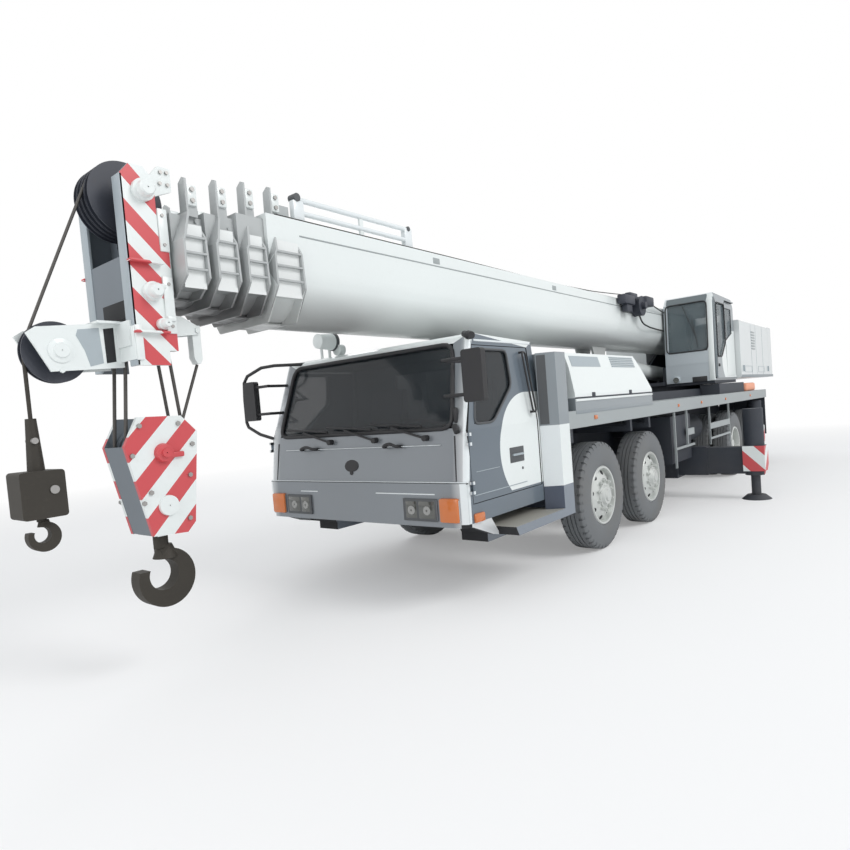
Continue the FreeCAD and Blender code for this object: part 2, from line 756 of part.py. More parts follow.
def make_interior():
    dash = plate("XZ", (
        (back(S.nose_back + 60), S.cab_floor),
        (back(S.nose_back + 60), S.bumper_high + 10),
        (back(S.belt_back + 60), S.belt - 60),
        (back(S.belt_back + 300), S.belt - 90),
        (back(S.belt_back + 330), S.belt - 280),
        (back(S.belt_back + 180), S.cab_floor),
    ), -S.cab_half + 160, S.cab_half - 160)
    column = rod("Z", 22, (back(S.belt_back + 290), 560, S.belt - 250), 210)
    wheel = doc.addObject("Part::Torus", "SteeringWheel")
    bind(wheel, "Radius1", 215)
    bind(wheel, "Radius2", 16)
    place(wheel, (back(S.belt_back + 330), 560, S.belt + 10), Rotation(Vector(0, 1, 0), -25))
    spoke = box((back(S.belt_back + 350), back(S.belt_back + 310)), (560 - 205, 560 + 205),
                (S.belt - 45, S.belt - 12))
    hub = rod("Z", 45, (back(S.belt_back + 330), 560, S.belt - 60), 60)
    steering = fuse(dash, column, spoke, hub, wheel)
    seats = []
    for side in (560, -560):
        base = box((back(S.cab_length - 130), back(S.cab_length - 590)), (side - 230, side + 230),
                   (S.cab_floor + 260, S.cab_floor + 400))
        rest = plate("XZ", (
            (back(S.cab_length - 250), S.cab_floor + 390),
            (back(S.cab_length - 140), S.cab_floor + 1010),
            (back(S.cab_length - 60), S.cab_floor + 1010),
            (back(S.cab_length - 120), S.cab_floor + 390),
        ), side - 220, side + 220)
        foot = box((back(S.cab_length - 180), back(S.cab_length - 500)), (side - 170, side + 170),
                   (S.cab_floor, S.cab_floor + 270))
        seats.append(fuse(base, rest, foot))
    return [steering] + seats


# Step boxes, pillars, hood and engine

def make_side_box(inner, low, high):
    return plate("XY", (
        (back(S.cab_length + S.move_gap), inner),
        (back(S.cab_length + S.move_gap), S.cab_half + S.move_gap),
        (back(S.box_front), S.cab_half + S.move_gap),
        (back(S.box_facet), S.body_half),
        (back(S.box_rear), S.body_half),
        (back(S.box_rear), inner),
    ), low, high)


def make_steps():
    tower = make_side_box(S.frame_half + 350, S.step_low, S.box_high)
    tread = plate("XZ", (
        (back(S.step_front + 40), S.step_low),
        (back(S.step_front), S.step_low + 75),
        (back(S.box_front + 90), S.step_low + 75),
        (back(S.box_front + 90), S.step_low),
    ), S.frame_half + 350, S.body_half)
    bracket = box((back(S.step_front + 470), back(S.step_front + 45)),
                  (S.frame_half + 350, S.frame_half + 620), (S.step_low - 75, S.step_low + 10))
    bearer = box((back(S.box_rear), back(S.cab_length + 10)), (S.frame_half, S.frame_half + 400),
                 (S.frame_low + 60, S.frame_low + 200))
    return fuse(tower, tread, bracket, bearer)


def make_pillar():
    return make_side_box(S.frame_half + 450, S.box_high - 10, S.pillar_high)


def make_hood():
    def form(inset):
        long = plate("XZ", (
            (back(S.hood_front + inset), S.deck_high),
            (back(S.hood_front + inset), S.hood_high - inset),
            (back(S.hood_rear_high - inset), S.hood_high - inset),
            (back(S.hood_rear - inset), S.hood_shoulder),
            (back(S.hood_rear - inset), S.deck_high),
        ), -S.body_half, S.body_half)
        across = plate("YZ", (
            (-S.body_half + inset, S.deck_high - 10),
            (S.body_half - inset, S.deck_high - 10),
            (S.body_half - inset, S.hood_shoulder),
            (S.body_half - 45 - inset, S.hood_high - 150),
            (S.body_half - 90 - inset, S.hood_high),
            (-S.body_half + 90 + inset, S.hood_high),
            (-S.body_half + 45 + inset, S.hood_high - 150),
            (-S.body_half + inset, S.hood_shoulder),
        ), back(S.hood_rear + 10), back(S.hood_front - 10))
        return common(long, across)
    return cut(form(size(0)), moved(form(S.sheet), (0, 0, -5)))


def make_engine():
    block = box((back(S.hood_rear - 750), back(S.hood_front + 90)), (-310, 310),
                (S.frame_low + 150, S.hood_high - 90))
    mounts = both_sides(box((back(2460), back(2340)), (300, S.frame_half - 10),
                            (S.frame_high, S.frame_high + 40)))
    return fuse(block, *mounts)


def make_boom_rest():
    foot_x = (back(1560), back(1460))
    posts = both_sides(box(foot_x, (S.frame_half - 90, S.frame_half - 10),
                           (S.frame_high, 2130)))
    beam = box(foot_x, (-S.frame_half + 10, S.frame_half - 10), (2110, 2210))
    pad = box(foot_x, (-170, 170), (2200, S.boom_low - S.move_gap))
    return fuse(*posts, beam, pad)


# Side equipment between the axles

def make_guard():
    """Light frame below the deck edge: four posts and their rails."""
    side = (S.body_half - 35, S.body_half - 10)
    posts = []
    # each post: back, lower end
    for spot, low in ((4650, 560), (5200, 800), (6390, 720), (7620, 640)):
        posts.append(box((back(spot + 25), back(spot)), side, (low, S.deck_low)))
    rails = []
    # each rail: front end, rear end, lower side, upper side
    for front, rear, low, high in ((5200, 5520, 960, 1050), (6390, 7640, 960, 1050),
                                   (4650, 5520, 800, 830), (6390, 7640, 800, 830)):
        rails.append(box((back(rear), back(front)), side, (low, high)))
    return [fuse(posts[0], posts[1], rails[0], rails[2]),
            fuse(posts[2], posts[3], rails[1], rails[3])]


def make_locker():
    """Dark locker behind the second axle."""
    body = box((back(5500), back(4620)), (S.frame_half + 220, S.body_half - 60),
               (S.box_low, S.deck_low - 60))
    arm = box((back(5200), back(4800)), (S.frame_half, S.frame_half + 240),
              (S.frame_high - 180, S.frame_high - 60))
    return fuse(body, arm)


def make_tank():
    body = rod("X", 230, (back(7350), S.frame_half + 320, 960), 900)
    arm = box((back(7200), back(6600)), (S.frame_half, S.frame_half + 150), (960, 1060))
    return fuse(body, arm)


def make_flap():
    """Mudflap at the tail."""
    return box((back(S.deck_rear + 10), back(S.deck_rear)), (S.wheel_face - 600, S.body_half - 32),
               (540, S.deck_low + 60))


# Axles, knuckles and wheels

def steer_axle(spot):
    x = back(spot)
    z = S.tyre_radius
    beam = box((x - 60, x + 60), (-S.kingpin_side + 130, S.kingpin_side - 130), (z - 110, z + 30))
    ends = both_sides(cut(
        fuse(rod("Z", 75, (x, S.kingpin_side, z - 75), 150),
             box((x - 60, x + 60), (S.kingpin_side - 140, S.kingpin_side), (z - 60, z + 30))),
        rod("Z", S.kingpin_radius + S.run_gap, (x, S.kingpin_side, z - 90), 200)))
    springs = both_sides(plate("XZ", (
        (x - 600, S.frame_low), (x - 500, S.frame_low), (x - 60, z + 90), (x + 60, z + 90),
        (x + 500, S.frame_low), (x + 600, S.frame_low), (x + 90, z + 20), (x - 90, z + 20),
    ), S.frame_half - 90, S.frame_half - 10))
    return fuse(beam, *ends, *springs)


def drive_axle(spot):
    x = back(spot)
    z = S.tyre_radius
    inner = S.wheel_face - S.tyre_width - S.dual_pitch
    tube = rod("Y", 95, (x, -inner, z), inner * 2)
    bowl = rod("X", 230, (x - 130, 0, z), 260)
    stubs = both_sides(rod("Y", S.spindle_radius, (x, inner - 10, z),
                           S.tyre_width + S.dual_pitch - 120))
    seats = both_sides(box((x - 110, x + 110), (S.frame_half - 95, S.frame_half - 5),
                           (z + 60, S.frame_low)))
    return fuse(tube, bowl, *stubs, *seats)


def make_knuckle(spot, side):
    """Yoke on the kingpin with the spindle that carries the wheel."""
    x = back(spot)
    z = S.tyre_radius
    pin = rod("Z", S.kingpin_radius, (x, S.kingpin_side, z - 120), 240)
    yokes = [box((x - 60, x + 60), (S.kingpin_side - 50, S.kingpin_side + 110), ends)
             for ends in ((z - 120, z - 75 - S.seat_gap), (z + 75 + S.seat_gap, z + 120))]
    web = box((x - 60, x + 60), (S.kingpin_side + 82, S.kingpin_side + 110), (z - 120, z + 120))
    spindle = rod("Y", S.spindle_radius, (x, S.kingpin_side + 100, z), 225)
    piece = fuse(pin, *yokes, web, spindle)
    return piece if side > 0 else mirrored(piece)


def tyre(x, outer):
    width = S.tyre_width
    radius = S.tyre_radius
    bead = S.rim_radius + S.seat_gap
    return turned("Y", (x, outer - width, S.tyre_radius), (
        (30, bead), (0, bead + 70), (0, radius - 70), (35, radius),
        (width - 35, radius), (width, radius - 70), (width, bead + 70), (width - 30, bead)))


def rim(x, outer, disc_at, disc_depth):
    """Rim barrel with its disc. disc_at is measured in from the rim's outer edge."""
    width = S.tyre_width - 30
    inner = S.rim_radius - 14
    start = outer - S.tyre_width + 15
    barrel = turned("Y", (x, start, S.tyre_radius), (
        (0, inner), (0, S.rim_radius), (width, S.rim_radius), (width, inner)))
    face = outer - 15 - disc_at
    disc = turned("Y", (x, face - disc_depth, S.tyre_radius), (
        (0, S.spindle_radius + S.run_gap), (0, S.hub_radius + 30),
        (disc_depth - 60, inner + 5), (disc_depth - 45, inner + 5),
        (disc_depth, S.hub_radius), (disc_depth, S.spindle_radius + S.run_gap)))
    return fuse(barrel, disc)


def make_steer_wheel(spot, side):
    x = back(spot)
    face = S.wheel_face
    wheel = rim(x, face, size(20), size(90))
    hub = turned("Y", (x, S.kingpin_side + 145, S.tyre_radius), (
        (0, S.spindle_radius + S.run_gap), (0, 120), (120, 120),
        (120, S.spindle_radius + S.run_gap)))
    cap = rod("Y", 70, (x, face - 40, S.tyre_radius), 35)
    items = [fuse(wheel, hub, cap), tyre(x, face)]
    return items if side > 0 else [mirrored(item) for item in items]


def make_twin_wheel(spot, side):
    x = back(spot)
    face = S.wheel_face
    inner_face = face - S.dual_pitch
    width = S.tyre_width - 30
    inner = S.rim_radius - 14
    outer_rim = turned("Y", (x, face - width - 15, S.tyre_radius), (
        (0, inner), (0, S.rim_radius), (width, S.rim_radius), (width, inner)))
    inner_rim = turned("Y", (x, inner_face - width - 15, S.tyre_radius), (
        (0, inner), (0, S.rim_radius), (width, S.rim_radius), (width, inner)))
    disc = turned("Y", (x, inner_face - 40, S.tyre_radius), (
        (0, S.spindle_radius + S.run_gap), (0, S.rim_radius), (110, S.rim_radius),
        (110, inner), (30, inner), (30, S.hub_radius), (130, S.hub_radius - 20),
        (130, S.spindle_radius + S.run_gap)))
    cap = rod("Y", 100, (x, face - 120, S.tyre_radius), 60)
    hub = turned("Y", (x, inner_face + 60, S.tyre_radius), (
        (0, S.spindle_radius + S.run_gap), (0, 110), (170, 110), (170,
                                                               S.spindle_radius + S.run_gap)))
    items = [fuse(outer_rim, inner_rim, disc, hub, cap), tyre(x, face), tyre(x, inner_face)]
    return items if side > 0 else [mirrored(item) for item in items]


# Outriggers

def make_beam(middle, side, reach):
    low, high = lane(middle, side)
    centre = (low + high) / 2
    jack = S.jack_side + reach
    inner = -S.outrigger_half + S.beam_wall + 10 + reach
    step = jack - 600
    beam = fuse(box((low, high), (inner, step), (S.beam_low, S.beam_high)),
                box((low + 12, high - 12), (step - 10, jack), (S.beam_low + 20, S.beam_high - 15)))
    housing = rod("Z", S.jack_radius, (centre, jack, S.beam_low), S.jack_high - S.beam_low)
    striped = rounded(box((centre - 120, centre + 120), (jack + 40, jack + 150),
                          (S.beam_low + 60, S.beam_high)), 40,
                      lambda middle, direction: along(direction, "y"))
    sign = box((centre + S.jack_radius - 30, centre + S.jack_radius + 12),
               (jack - 125, jack + 150), (S.beam_low + 60, S.beam_high))
    bore = rod("Z", S.leg_radius + S.run_gap, (centre, jack, S.beam_low - 20),
               S.jack_high - S.beam_low - 40)
    piece = cut(fuse(beam, housing, striped, sign), bore)
    return piece


def make_leg(middle, side, reach, float_low):
    low, high = lane(middle, side)
    centre = (low + high) / 2
    jack = S.jack_side + reach
    shaft_low = float_low + S.float_thick - 20
    shaft = rod("Z", S.leg_radius, (centre, jack, shaft_low), S.jack_high - 120 - S.leg_stored)
    foot = cone("Z", S.float_radius, S.float_radius - 70, (centre, jack, float_low),
                S.float_thick)
    return fuse(shaft, foot)


# Slewing upper works

def make_upper_frame():
    floor_top = S.upper_floor + S.upper_plate
    ring = rod("Z", S.slew_radius, (back(S.slew_back), 0, S.slew_seat + S.seat_gap),
               S.upper_floor - S.slew_seat)
    floor = box((back(S.tail_back - 40), back(S.upper_front)),
                (-S.cheek_inner, S.cheek_inner), (S.upper_floor, floor_top))
    beams = both_sides(box((back(11200), back(7500)), (S.cheek_inner - 75, S.cheek_inner - 5),
                           (floor_top - 10, 2020)))
    pin_x = back(S.foot_back)
    cheeks = both_sides(plate("XZ", (
        (back(11600), S.upper_floor), (back(9000), S.upper_floor), (back(9000), 2150),
        (pin_x + 420, S.foot_high + 170), (pin_x - 160, S.foot_high + 190),
        (pin_x - 330, S.foot_high - 60), (back(11600), 2000),
    ), S.cheek_inner - 8, S.cheek_inner + S.cheek_thick))
    pin = rod("Y", S.foot_radius, (pin_x, -S.cheek_inner - S.cheek_thick, S.foot_high),
              (S.cheek_inner + S.cheek_thick) * 2)
    heel_x = back(S.heel_back)
    ears = both_sides(plate("XZ", (
        (heel_x - 160, floor_top - 10), (heel_x + 160, floor_top - 10),
        (heel_x + 90, S.heel_high + 90), (heel_x - 90, S.heel_high + 90),
    ), 160, 200))
    heel = rod("Y", 50, (heel_x, -200, S.heel_high), 400)
    seat = box((back(S.op_rear), back(S.op_front + 60)), (S.cheek_inner - 20, S.op_outer - 50),
               (S.upper_floor - 30, S.op_low))
    return fuse(ring, floor, *beams, *cheeks, pin, *ears, heel, seat)


def make_body_cover(side):
    """Machinery cover beside the boom foot."""
    inner = S.cheek_inner + S.cheek_thick + 10
    cover = box((back(S.weight_front - 5), back(S.body_front)), (inner, S.upper_half),
                (S.upper_low, S.upper_high))
    cover = rounded(cover, 30, lambda middle, direction: along(direction, "x")
                    and middle.y > 1200)
    hollow = box((back(S.weight_front - 25), back(S.body_front + 20)),
                 (inner + 20, S.upper_half - 20), (S.upper_low + 20, S.upper_high - 20))
    cover = cut(cover, hollow)
    arms = [box((back(spot + 120), back(spot)), (S.cheek_inner + S.cheek_thick, inner),
                (S.upper_low + 60, S.upper_low + 200)) for spot in (9200, 11300)]
    piece = fuse(cover, *arms)
    return piece if side > 0 else mirrored(piece)


def make_counterweight():
    block = box((back(S.tail_back), back(S.weight_front)), (-S.upper_half, S.upper_half),
                (S.upper_floor + S.upper_plate, S.upper_high))
    block = rounded(block, 60, lambda middle, direction: along(direction, "z")
                    and middle.x < S.front_ahead.value - S.tail_back.value + 10)
    return block


def make_winch():
    drum = rod("Y", S.winch_radius - 40, (back(S.winch_back), -330, S.winch_high), 660)
    wound = rod("Y", S.winch_radius, (back(S.winch_back), -300, S.winch_high), 600)
    flanges = [rod("Y", S.winch_radius + 35, (back(S.winch_back), at, S.winch_high), 30)
               for at in (-330, 300)]
    cradle = both_sides(box((back(S.winch_back + 90), back(S.winch_back - 90)), (332, 388),
                            (S.upper_floor + S.upper_plate, S.winch_high + 60)))
    shaft = rod("Y", 60, (back(S.winch_back), -388, S.winch_high), 776)
    return fuse(drum, wound, *flanges, *cradle, shaft)


# Operator's cab

def op_form(inset, low):
    side = plate("XZ", (
        (back(S.op_front + inset), low),
        (back(S.op_front + inset), S.op_screen_low),
        (back(S.op_front + 60 + inset), S.op_high - 130 - inset),
        (back(S.op_front + 180 + inset), S.op_high - inset),
        (back(S.op_rear - 120 - inset), S.op_high - 20 - inset),
        (back(S.op_rear - inset), S.op_high - 160 - inset),
        (back(S.op_rear - inset), low),
    ), S.op_inner + inset, S.op_outer - S.op_wall - S.move_gap - inset)
    return side


def op_front_hole():
    return box((back(S.op_front + 240), back(S.op_front - 50)),
               (S.op_inner + 65, S.op_outer - 130), (S.op_screen_low, S.op_high - 90))


def op_door_window():
    return plate("XZ", (
        (back(S.op_door_front + 60), S.op_screen_low + 70),
        (back(S.op_door_front + 330), S.op_screen_low + 70),
        (back(S.op_door_rear - 60), S.op_screen_low + 330),
        (back(S.op_door_rear - 60), S.op_high - 170),
        (back(S.op_door_front + 90), S.op_high - 170),
    ), S.op_outer - 200, S.op_outer + 20)


def op_rear_side_window():
    return plate("XZ", (
        (back(S.op_door_rear + 60), S.op_screen_low + 330),
        (back(S.op_rear - 180), S.op_screen_low + 520),
        (back(S.op_rear - 180), S.op_high - 200),
        (back(S.op_door_rear + 60), S.op_high - 200),
    ), S.op_outer - 200, S.op_outer + 20)


def op_other_windows():
    inner = box((back(S.op_rear - 250), back(S.op_front + 300)), (S.op_inner - 30,
                S.op_inner + 100), (S.op_screen_low + 250, S.op_high - 220))
    rear = box((back(S.op_rear + 30), back(S.op_rear - 90)), (S.op_inner + 120,
               S.op_outer - 200), (S.op_screen_low + 250, S.op_high - 260))
    return [inner, rear]


def make_operator_cab():
    outer = op_form(size(0), S.op_low)
    shell = cut(outer, op_form(S.op_wall, S.op_low + S.op_wall))
    doorway = box((back(S.op_door_rear - 30), back(S.op_door_front + 30)),
                  (S.op_outer - 200, S.op_outer), (S.op_low + 90, S.op_high - 120))
    travel = (back(S.op_rear - 130), back(S.op_door_front + 40))
    rail_side = (S.op_outer - S.op_wall - S.move_gap - 4, S.op_outer)
    lower = box(travel, rail_side, (S.op_low + 35, S.op_low + 60 - S.seat_gap))
    upper = box(travel, rail_side, (S.op_high - 90 + S.seat_gap, S.op_high - 70))
    shell = fuse(cut(shell, op_front_hole(), doorway, op_rear_side_window(),
                     *op_other_windows()), lower, upper)
    pane = cut(op_form(size(10), S.op_low), op_form(size(16), S.op_low - 10))
    panes = [common(pane, hole) for hole in (op_front_hole(), op_rear_side_window(),
                                              *op_other_windows())]
    door = box((back(S.op_door_rear), back(S.op_door_front)),
               (S.op_outer - S.op_wall, S.op_outer), (S.op_low + 60, S.op_high - 90))
    door_pane = common(box((back(S.op_door_rear), back(S.op_door_front)),
                           (S.op_outer - 22, S.op_outer - 16), (S.op_low, S.op_high)),
                       op_door_window())
    return shell, panes, [cut(door, op_door_window()), door_pane]


def make_operator_seat():
    floor = S.op_low + S.op_wall
    middle = (S.op_inner + S.op_outer) / 2 - 20
    foot = box((back(8450), back(8150)), (middle - 150, middle + 150), (floor, floor + 270))
    base = box((back(8600), back(8080)), (middle - 240, middle + 240), (floor + 260, floor + 400))
    rest = plate("XZ", (
        (back(8600), floor + 390), (back(8480), floor + 390), (back(8600), floor + 1000),
        (back(8680), floor + 1000)), middle - 220, middle + 220)
    return fuse(foot, base, rest)


# Boom

def section_sizes(number):
    """Half width, underside and top of a boom section. The base section is number 0."""
    step = S.boom_step * number
    return S.boom_half - step, S.boom_low + step, S.boom_high - step


def trough(number, rear, front, inset=0):
    half, low, high = section_sizes(number)
    drawing = sketch("YZ", rear)
    draw_trough(drawing, half - inset, low + inset, high - inset)
    return pull(drawing, "YZ", front - rear)


# Each end collar: its top, half width and underside
COLLARS = ((3280, 450, 2310), (3265, 440, 2345), (3225, 425, 2385), (3190, 410, 2425))


def flange_outline(number):
    top, half, low = COLLARS[number]
    crown = section_sizes(number)[2] + 25
    side = (
        (S.lug_inner, crown),
        (S.lug_inner + 5, top - 30),
        (S.lug_outer - 30, top),
        (S.lug_outer, top - 12),
        (S.lug_outer, 2980),
        (half, 2800),
        (half, 2545),
        (half - 150, low),
    )
    return side + tuple((-size(y), z) for y, z in reversed(side))


def rear_flange_outline(number):
    top, half, low = COLLARS[number]
    crown = section_sizes(number)[2] + 25
    side = (
        (size(S.lug_inner), crown),
        (half - 25, 2800),
        (half - 12, 2545),
        (half - 150, low + 12),
    )
    return side + tuple((-size(y), z) for y, z in reversed(side))


# A collar's front flange leans back between these two heights
BEND_LOW = 2770
BEND_HIGH = 2970
# Ribs between a collar's flanges: height, how far in from the flange's half width
RIBS = ((2880, 70), (2790, 22), (2690, 18), (2590, 20), (2490, 62))


def make_collar(number, front, length):
    """Two flanges joined by ribs round the end of a section."""
    half, low, high = section_sizes(number)
    bend = plate("XZ", (
        (front - S.collar_lean, 3300), (front - S.collar_lean, BEND_HIGH), (front, BEND_LOW),
        (front, 2200), (front - S.flange, 2200), (front - S.flange, BEND_LOW - 4),
        (front - S.collar_lean - S.flange, BEND_HIGH - 4),
        (front - S.collar_lean - S.flange, 3300),
    ), -S.boom_half - 100, S.boom_half + 100)
    ahead_plate = common(plate("YZ", flange_outline(number),
                               front - S.collar_lean - S.flange - 10, front + 10), bend)
    behind = plate("YZ", rear_flange_outline(number), front - length, front - length + S.flange)
    ribs = []
    for height, inset in RIBS:
        behind_bend = max(0, height + 12 - BEND_LOW) / (BEND_HIGH - BEND_LOW)
        tip = front - S.collar_lean * behind_bend - 5
        ribs += both_sides(box((front - length + 5, tip),
                               (half - 90, COLLARS[number][1] - inset), (height, height + 12)))
    keel = box((front - length + 5, front - 5), (-140, 140),
               (COLLARS[number][2] + 14, COLLARS[number][2] + 26))
    pads = both_sides(box((front - length, front - S.collar_lean - 5),
                          (S.lug_inner, S.lug_inner + 55), (high - 5, high + 110)))
    return [ahead_plate, behind, *ribs, keel, *pads]


def section_tube(number, front):
    """An inner section's skin, with a rim at its rear that runs in the next larger section."""
    rear = back(S.boom_foot) + 450 + 100 * number
    skin = trough(number, rear, front)
    rim_ring = trough(number - 1, rear, rear + 80, S.boom_wall + S.seat_gap)
    return fuse(skin, rim_ring), rear


def section_hollow(number, rear, front):
    """The space inside a section, narrowed at the front to guide the next one."""
    wide = trough(number, rear - 10, front - 140, S.boom_wall)
    return fuse(wide, trough(number + 1, front - 150, front + 10, -S.seat_gap))


def sheave_room():
    """Space kept free round the rear of the head sheaves."""
    half = S.rope_side + 30
    return rod("Y", S.sheave_radius + 10, (ahead(S.sheave_ahead), -half, S.sheave_high),
               half * 2)


def make_section(number):
    front = ahead(S.boom_tip) + S.collar_pitch * number
    if number == 0:
        rear = back(S.boom_foot)
        skin = trough(number, rear, front)
        length = S.base_collar
    else:
        skin, rear = section_tube(number, front)
        length = S.collar_length
    hollow = section_hollow(number, rear, front)
    if number == 3:
        hollow = fuse(hollow, sheave_room())
    return cut(fuse(skin, *make_collar(number, front, length)), hollow)


def make_boom_base():
    section = make_section(0)
    pin_x = back(S.foot_back)
    foot = rod("Y", S.foot_radius + 50, (pin_x, -S.boom_half + 2, S.foot_high),
               S.boom_half * 2 - 4)
    bore = rod("Y", S.foot_radius + S.run_gap, (pin_x, -S.boom_half - 60, S.foot_high),
               S.boom_half * 2 + 120)
    eye_x = back(S.boss_back)
    ears = both_sides(plate("XZ", (
        (eye_x - 260, S.boom_low + 40), (eye_x + 260, S.boom_low + 40),
        (eye_x + 100, S.boss_high - 90), (eye_x - 100, S.boss_high - 90),
    ), 105, 140))
    clear = rod("X", S.boom_half - S.boom_wall, (pin_x - 1000, 0, S.boom_low + S.boom_half),
                20000)
    upper = box((pin_x - 1000, pin_x + 19000), (-S.boom_half + S.boom_wall,
                S.boom_half - S.boom_wall), (S.boom_low + S.boom_half, S.boom_high - S.boom_wall))
    ears = [cut(ear, fuse(clear, upper)) for ear in ears]
    return cut(fuse(section, foot, *ears), bore)


def make_top_rail():
    """Light frame along the top of the base section, and the cable reel at its side."""
    high = S.boom_high
    half = S.boom_half - 45
    posts = [box((back(spot + 40), back(spot)), (half - 20, half), (high, high + 190))
             for spot in (-640, 0, 560)]
    rails = [box((back(600), back(-640)), (half - 22, half - 2), (high + level, high + level + 22))
             for level in (70, 175)]
    frame = fuse(*posts, *rails)
    reel_x = back(6050)
    reel = rod("Y", 150, (reel_x, S.boom_half + 20, S.boom_high - 90), 130)
    bracket = box((reel_x - 70, reel_x + 70), (S.boom_half, S.boom_half + 30),
                  (S.boom_high - 190, S.boom_high - 20))
    return [frame, fuse(reel, bracket)]


def make_head():
    """Innermost section with the head's box, side plates and pins."""
    box_rear = ahead(S.boom_tip) + S.collar_pitch * 3 + 8
    tube, rear = section_tube(4, box_rear + 20)
    hollow = trough(4, rear - 10, box_rear - 60, S.boom_wall)
    low_x, high_x = ahead(S.head_rear), ahead(S.head_front)
    cheeks = both_sides(plate("XZ", (
        (low_x, S.head_low), (high_x, S.head_low), (high_x, S.head_high - 70),
        (high_x - 60, S.head_high), (low_x + 60, S.head_high), (low_x, S.head_high - 70),
    ), S.head_half - S.head_plate, S.head_half))
    inner = S.head_half - S.head_plate
    block = box((box_rear, low_x + 40), (-inner, inner), (2450, 2800))
    shoulders = both_sides(box((box_rear, low_x + 40), (165, inner), (2790, 2950)))
    face = box((high_x - 12, high_x), (-inner - 5, inner + 5), (S.head_low + 290, 2660))
    rails = both_sides(box((low_x - 58, low_x + 10), (inner - 30, S.head_half), (2090, 2740)))
    pins = [rod("Y", radius, (ahead(spot), -S.head_half - 25, high), (S.head_half + 25) * 2)
            for radius, spot, high in ((45, S.sheave_ahead, S.sheave_high),
                                       (38, S.sheave_ahead, S.lower_high),
                                       (28, S.hang_ahead, S.hang_high))]
    body = cut(fuse(tube, block, *shoulders), fuse(hollow, sheave_room()))
    return fuse(body, *cheeks, face, *rails, *pins)


def grooved(at, radius, bore, depth, width):
    """A rope sheave with a flat groove."""
    flange = (width - (S.rope_radius + S.move_gap) * 2) / 2
    return turned("Y", at, (
        (0, bore), (0, radius), (flange, radius), (flange, radius - depth),
        (width - flange, radius - depth), (width - flange, radius), (width, radius),
        (width, bore)))


def slanted(start, end, radius):
    """A round rope between two points of one side view: start and end are (X, Z)."""
    run = end[0].value - start[0].value
    rise = end[1].value - start[1].value
    length = math.hypot(run, rise)
    item = doc.addObject("Part::Cylinder", "Rope")
    bind(item, "Radius", radius)
    bind(item, "Height", f_length(start, end))
    item.Height = length
    return item, Rotation(Vector(0, 1, 0), math.degrees(math.atan2(run, rise)))


def f_length(start, end):
    run = end[0] - start[0]
    rise = end[1] - start[1]
    return Size(f"sqrt({run.formula}^2 + {rise.formula}^2)", math.hypot(run.value, rise.value))


def rope(start, end, side):
    item, turn = slanted(start, end, S.rope_radius)
    return moved(item, (start[0], side, start[1]), turn)


def make_head_sheaves():
    """Head sheaves and the guide wheels below them."""
    items = []
    width = (S.rope_radius + S.move_gap) * 2 + 8
    centre = ahead(S.sheave_ahead)
    for side in (-S.rope_side, -S.rope_side / 3, S.rope_side / 3, S.rope_side):
        items.append(grooved((centre, side - width / 2, S.sheave_high), S.sheave_radius,
                             45 + S.seat_gap, size(24), width))
    for side in (-S.rope_side, S.rope_side):
        items.append(grooved((ahead(S.hang_ahead), side - width / 2, S.hang_high), size(150),
                             28 + S.seat_gap, size(37), width))
    return items


def make_nose():
    """Two plates that carry the nose sheave ahead of the head's lower end."""
    x = ahead(S.nose_ahead)
    start = ahead(S.head_front) - 8
    plates = both_sides(plate("XZ", (
        (start, S.head_low + 5), (x + 60, S.nose_high - 120),
        (x + 170, S.nose_high + 95), (x + 120, S.nose_high + 130),
        (start, S.head_low + 280),
    ), S.nose_half - 14, S.nose_half))
    top = box((start, x - 190), (-S.nose_half - 60, S.nose_half + 60),
              (S.head_low + 262, S.head_low + 276))
    inner = S.head_half - S.head_plate
    stay = box((start, start + 30), (-inner, inner), (S.head_low + 120, S.head_low + 270))
    pin = rod("Y", 30, (x, -S.nose_half - 15, S.nose_high), (S.nose_half + 15) * 2)
    width = (S.rope_radius + S.move_gap) * 2 + 20
    depth = S.nose_radius - (S.small_ahead - S.nose_ahead - S.rope_radius - S.seat_gap)
    sheave = grooved((x, -width / 2, S.nose_high), S.nose_radius, 30 + S.seat_gap, depth, width)
    return [fuse(*plates, top, stay, pin), sheave]


# Hooks

BLOCK_OUTLINE = ((1920, 1695), (1635, 1690), (1530, 1580), (1600, 990), (1660, 930), (1890, 945),
                 (2015, 1520))


def make_hook_block():
    points = tuple((ahead(x), z) for x, z in BLOCK_OUTLINE)
    cheeks = [plate("XZ", points, low, high)
              for low, high in ((-S.block_half, -S.block_half + 30),
                                (S.block_half - 30, S.block_half))]
    x = ahead(S.hang_ahead)
    sheaves = [rod("Y", S.block_spread - S.rope_radius - 1.1, (x, side - 20, S.block_high), 40)
               for side in (-S.rope_side, size(0), S.rope_side)]
    inner = S.block_half - 20
    core = box((x - 80, x + 80), (-inner, inner), (935, 1290))
    pin = rod("Y", 35, (x, -S.block_half - 12, S.block_high), (S.block_half + 12) * 2)
    cover = plate("XZ", ((ahead(2014), 1519), (ahead(1889), 948), (ahead(1881), 948),
                         (ahead(2006), 1519)), -inner, inner)
    return fuse(*cheeks, *sheaves, core, pin, cover)


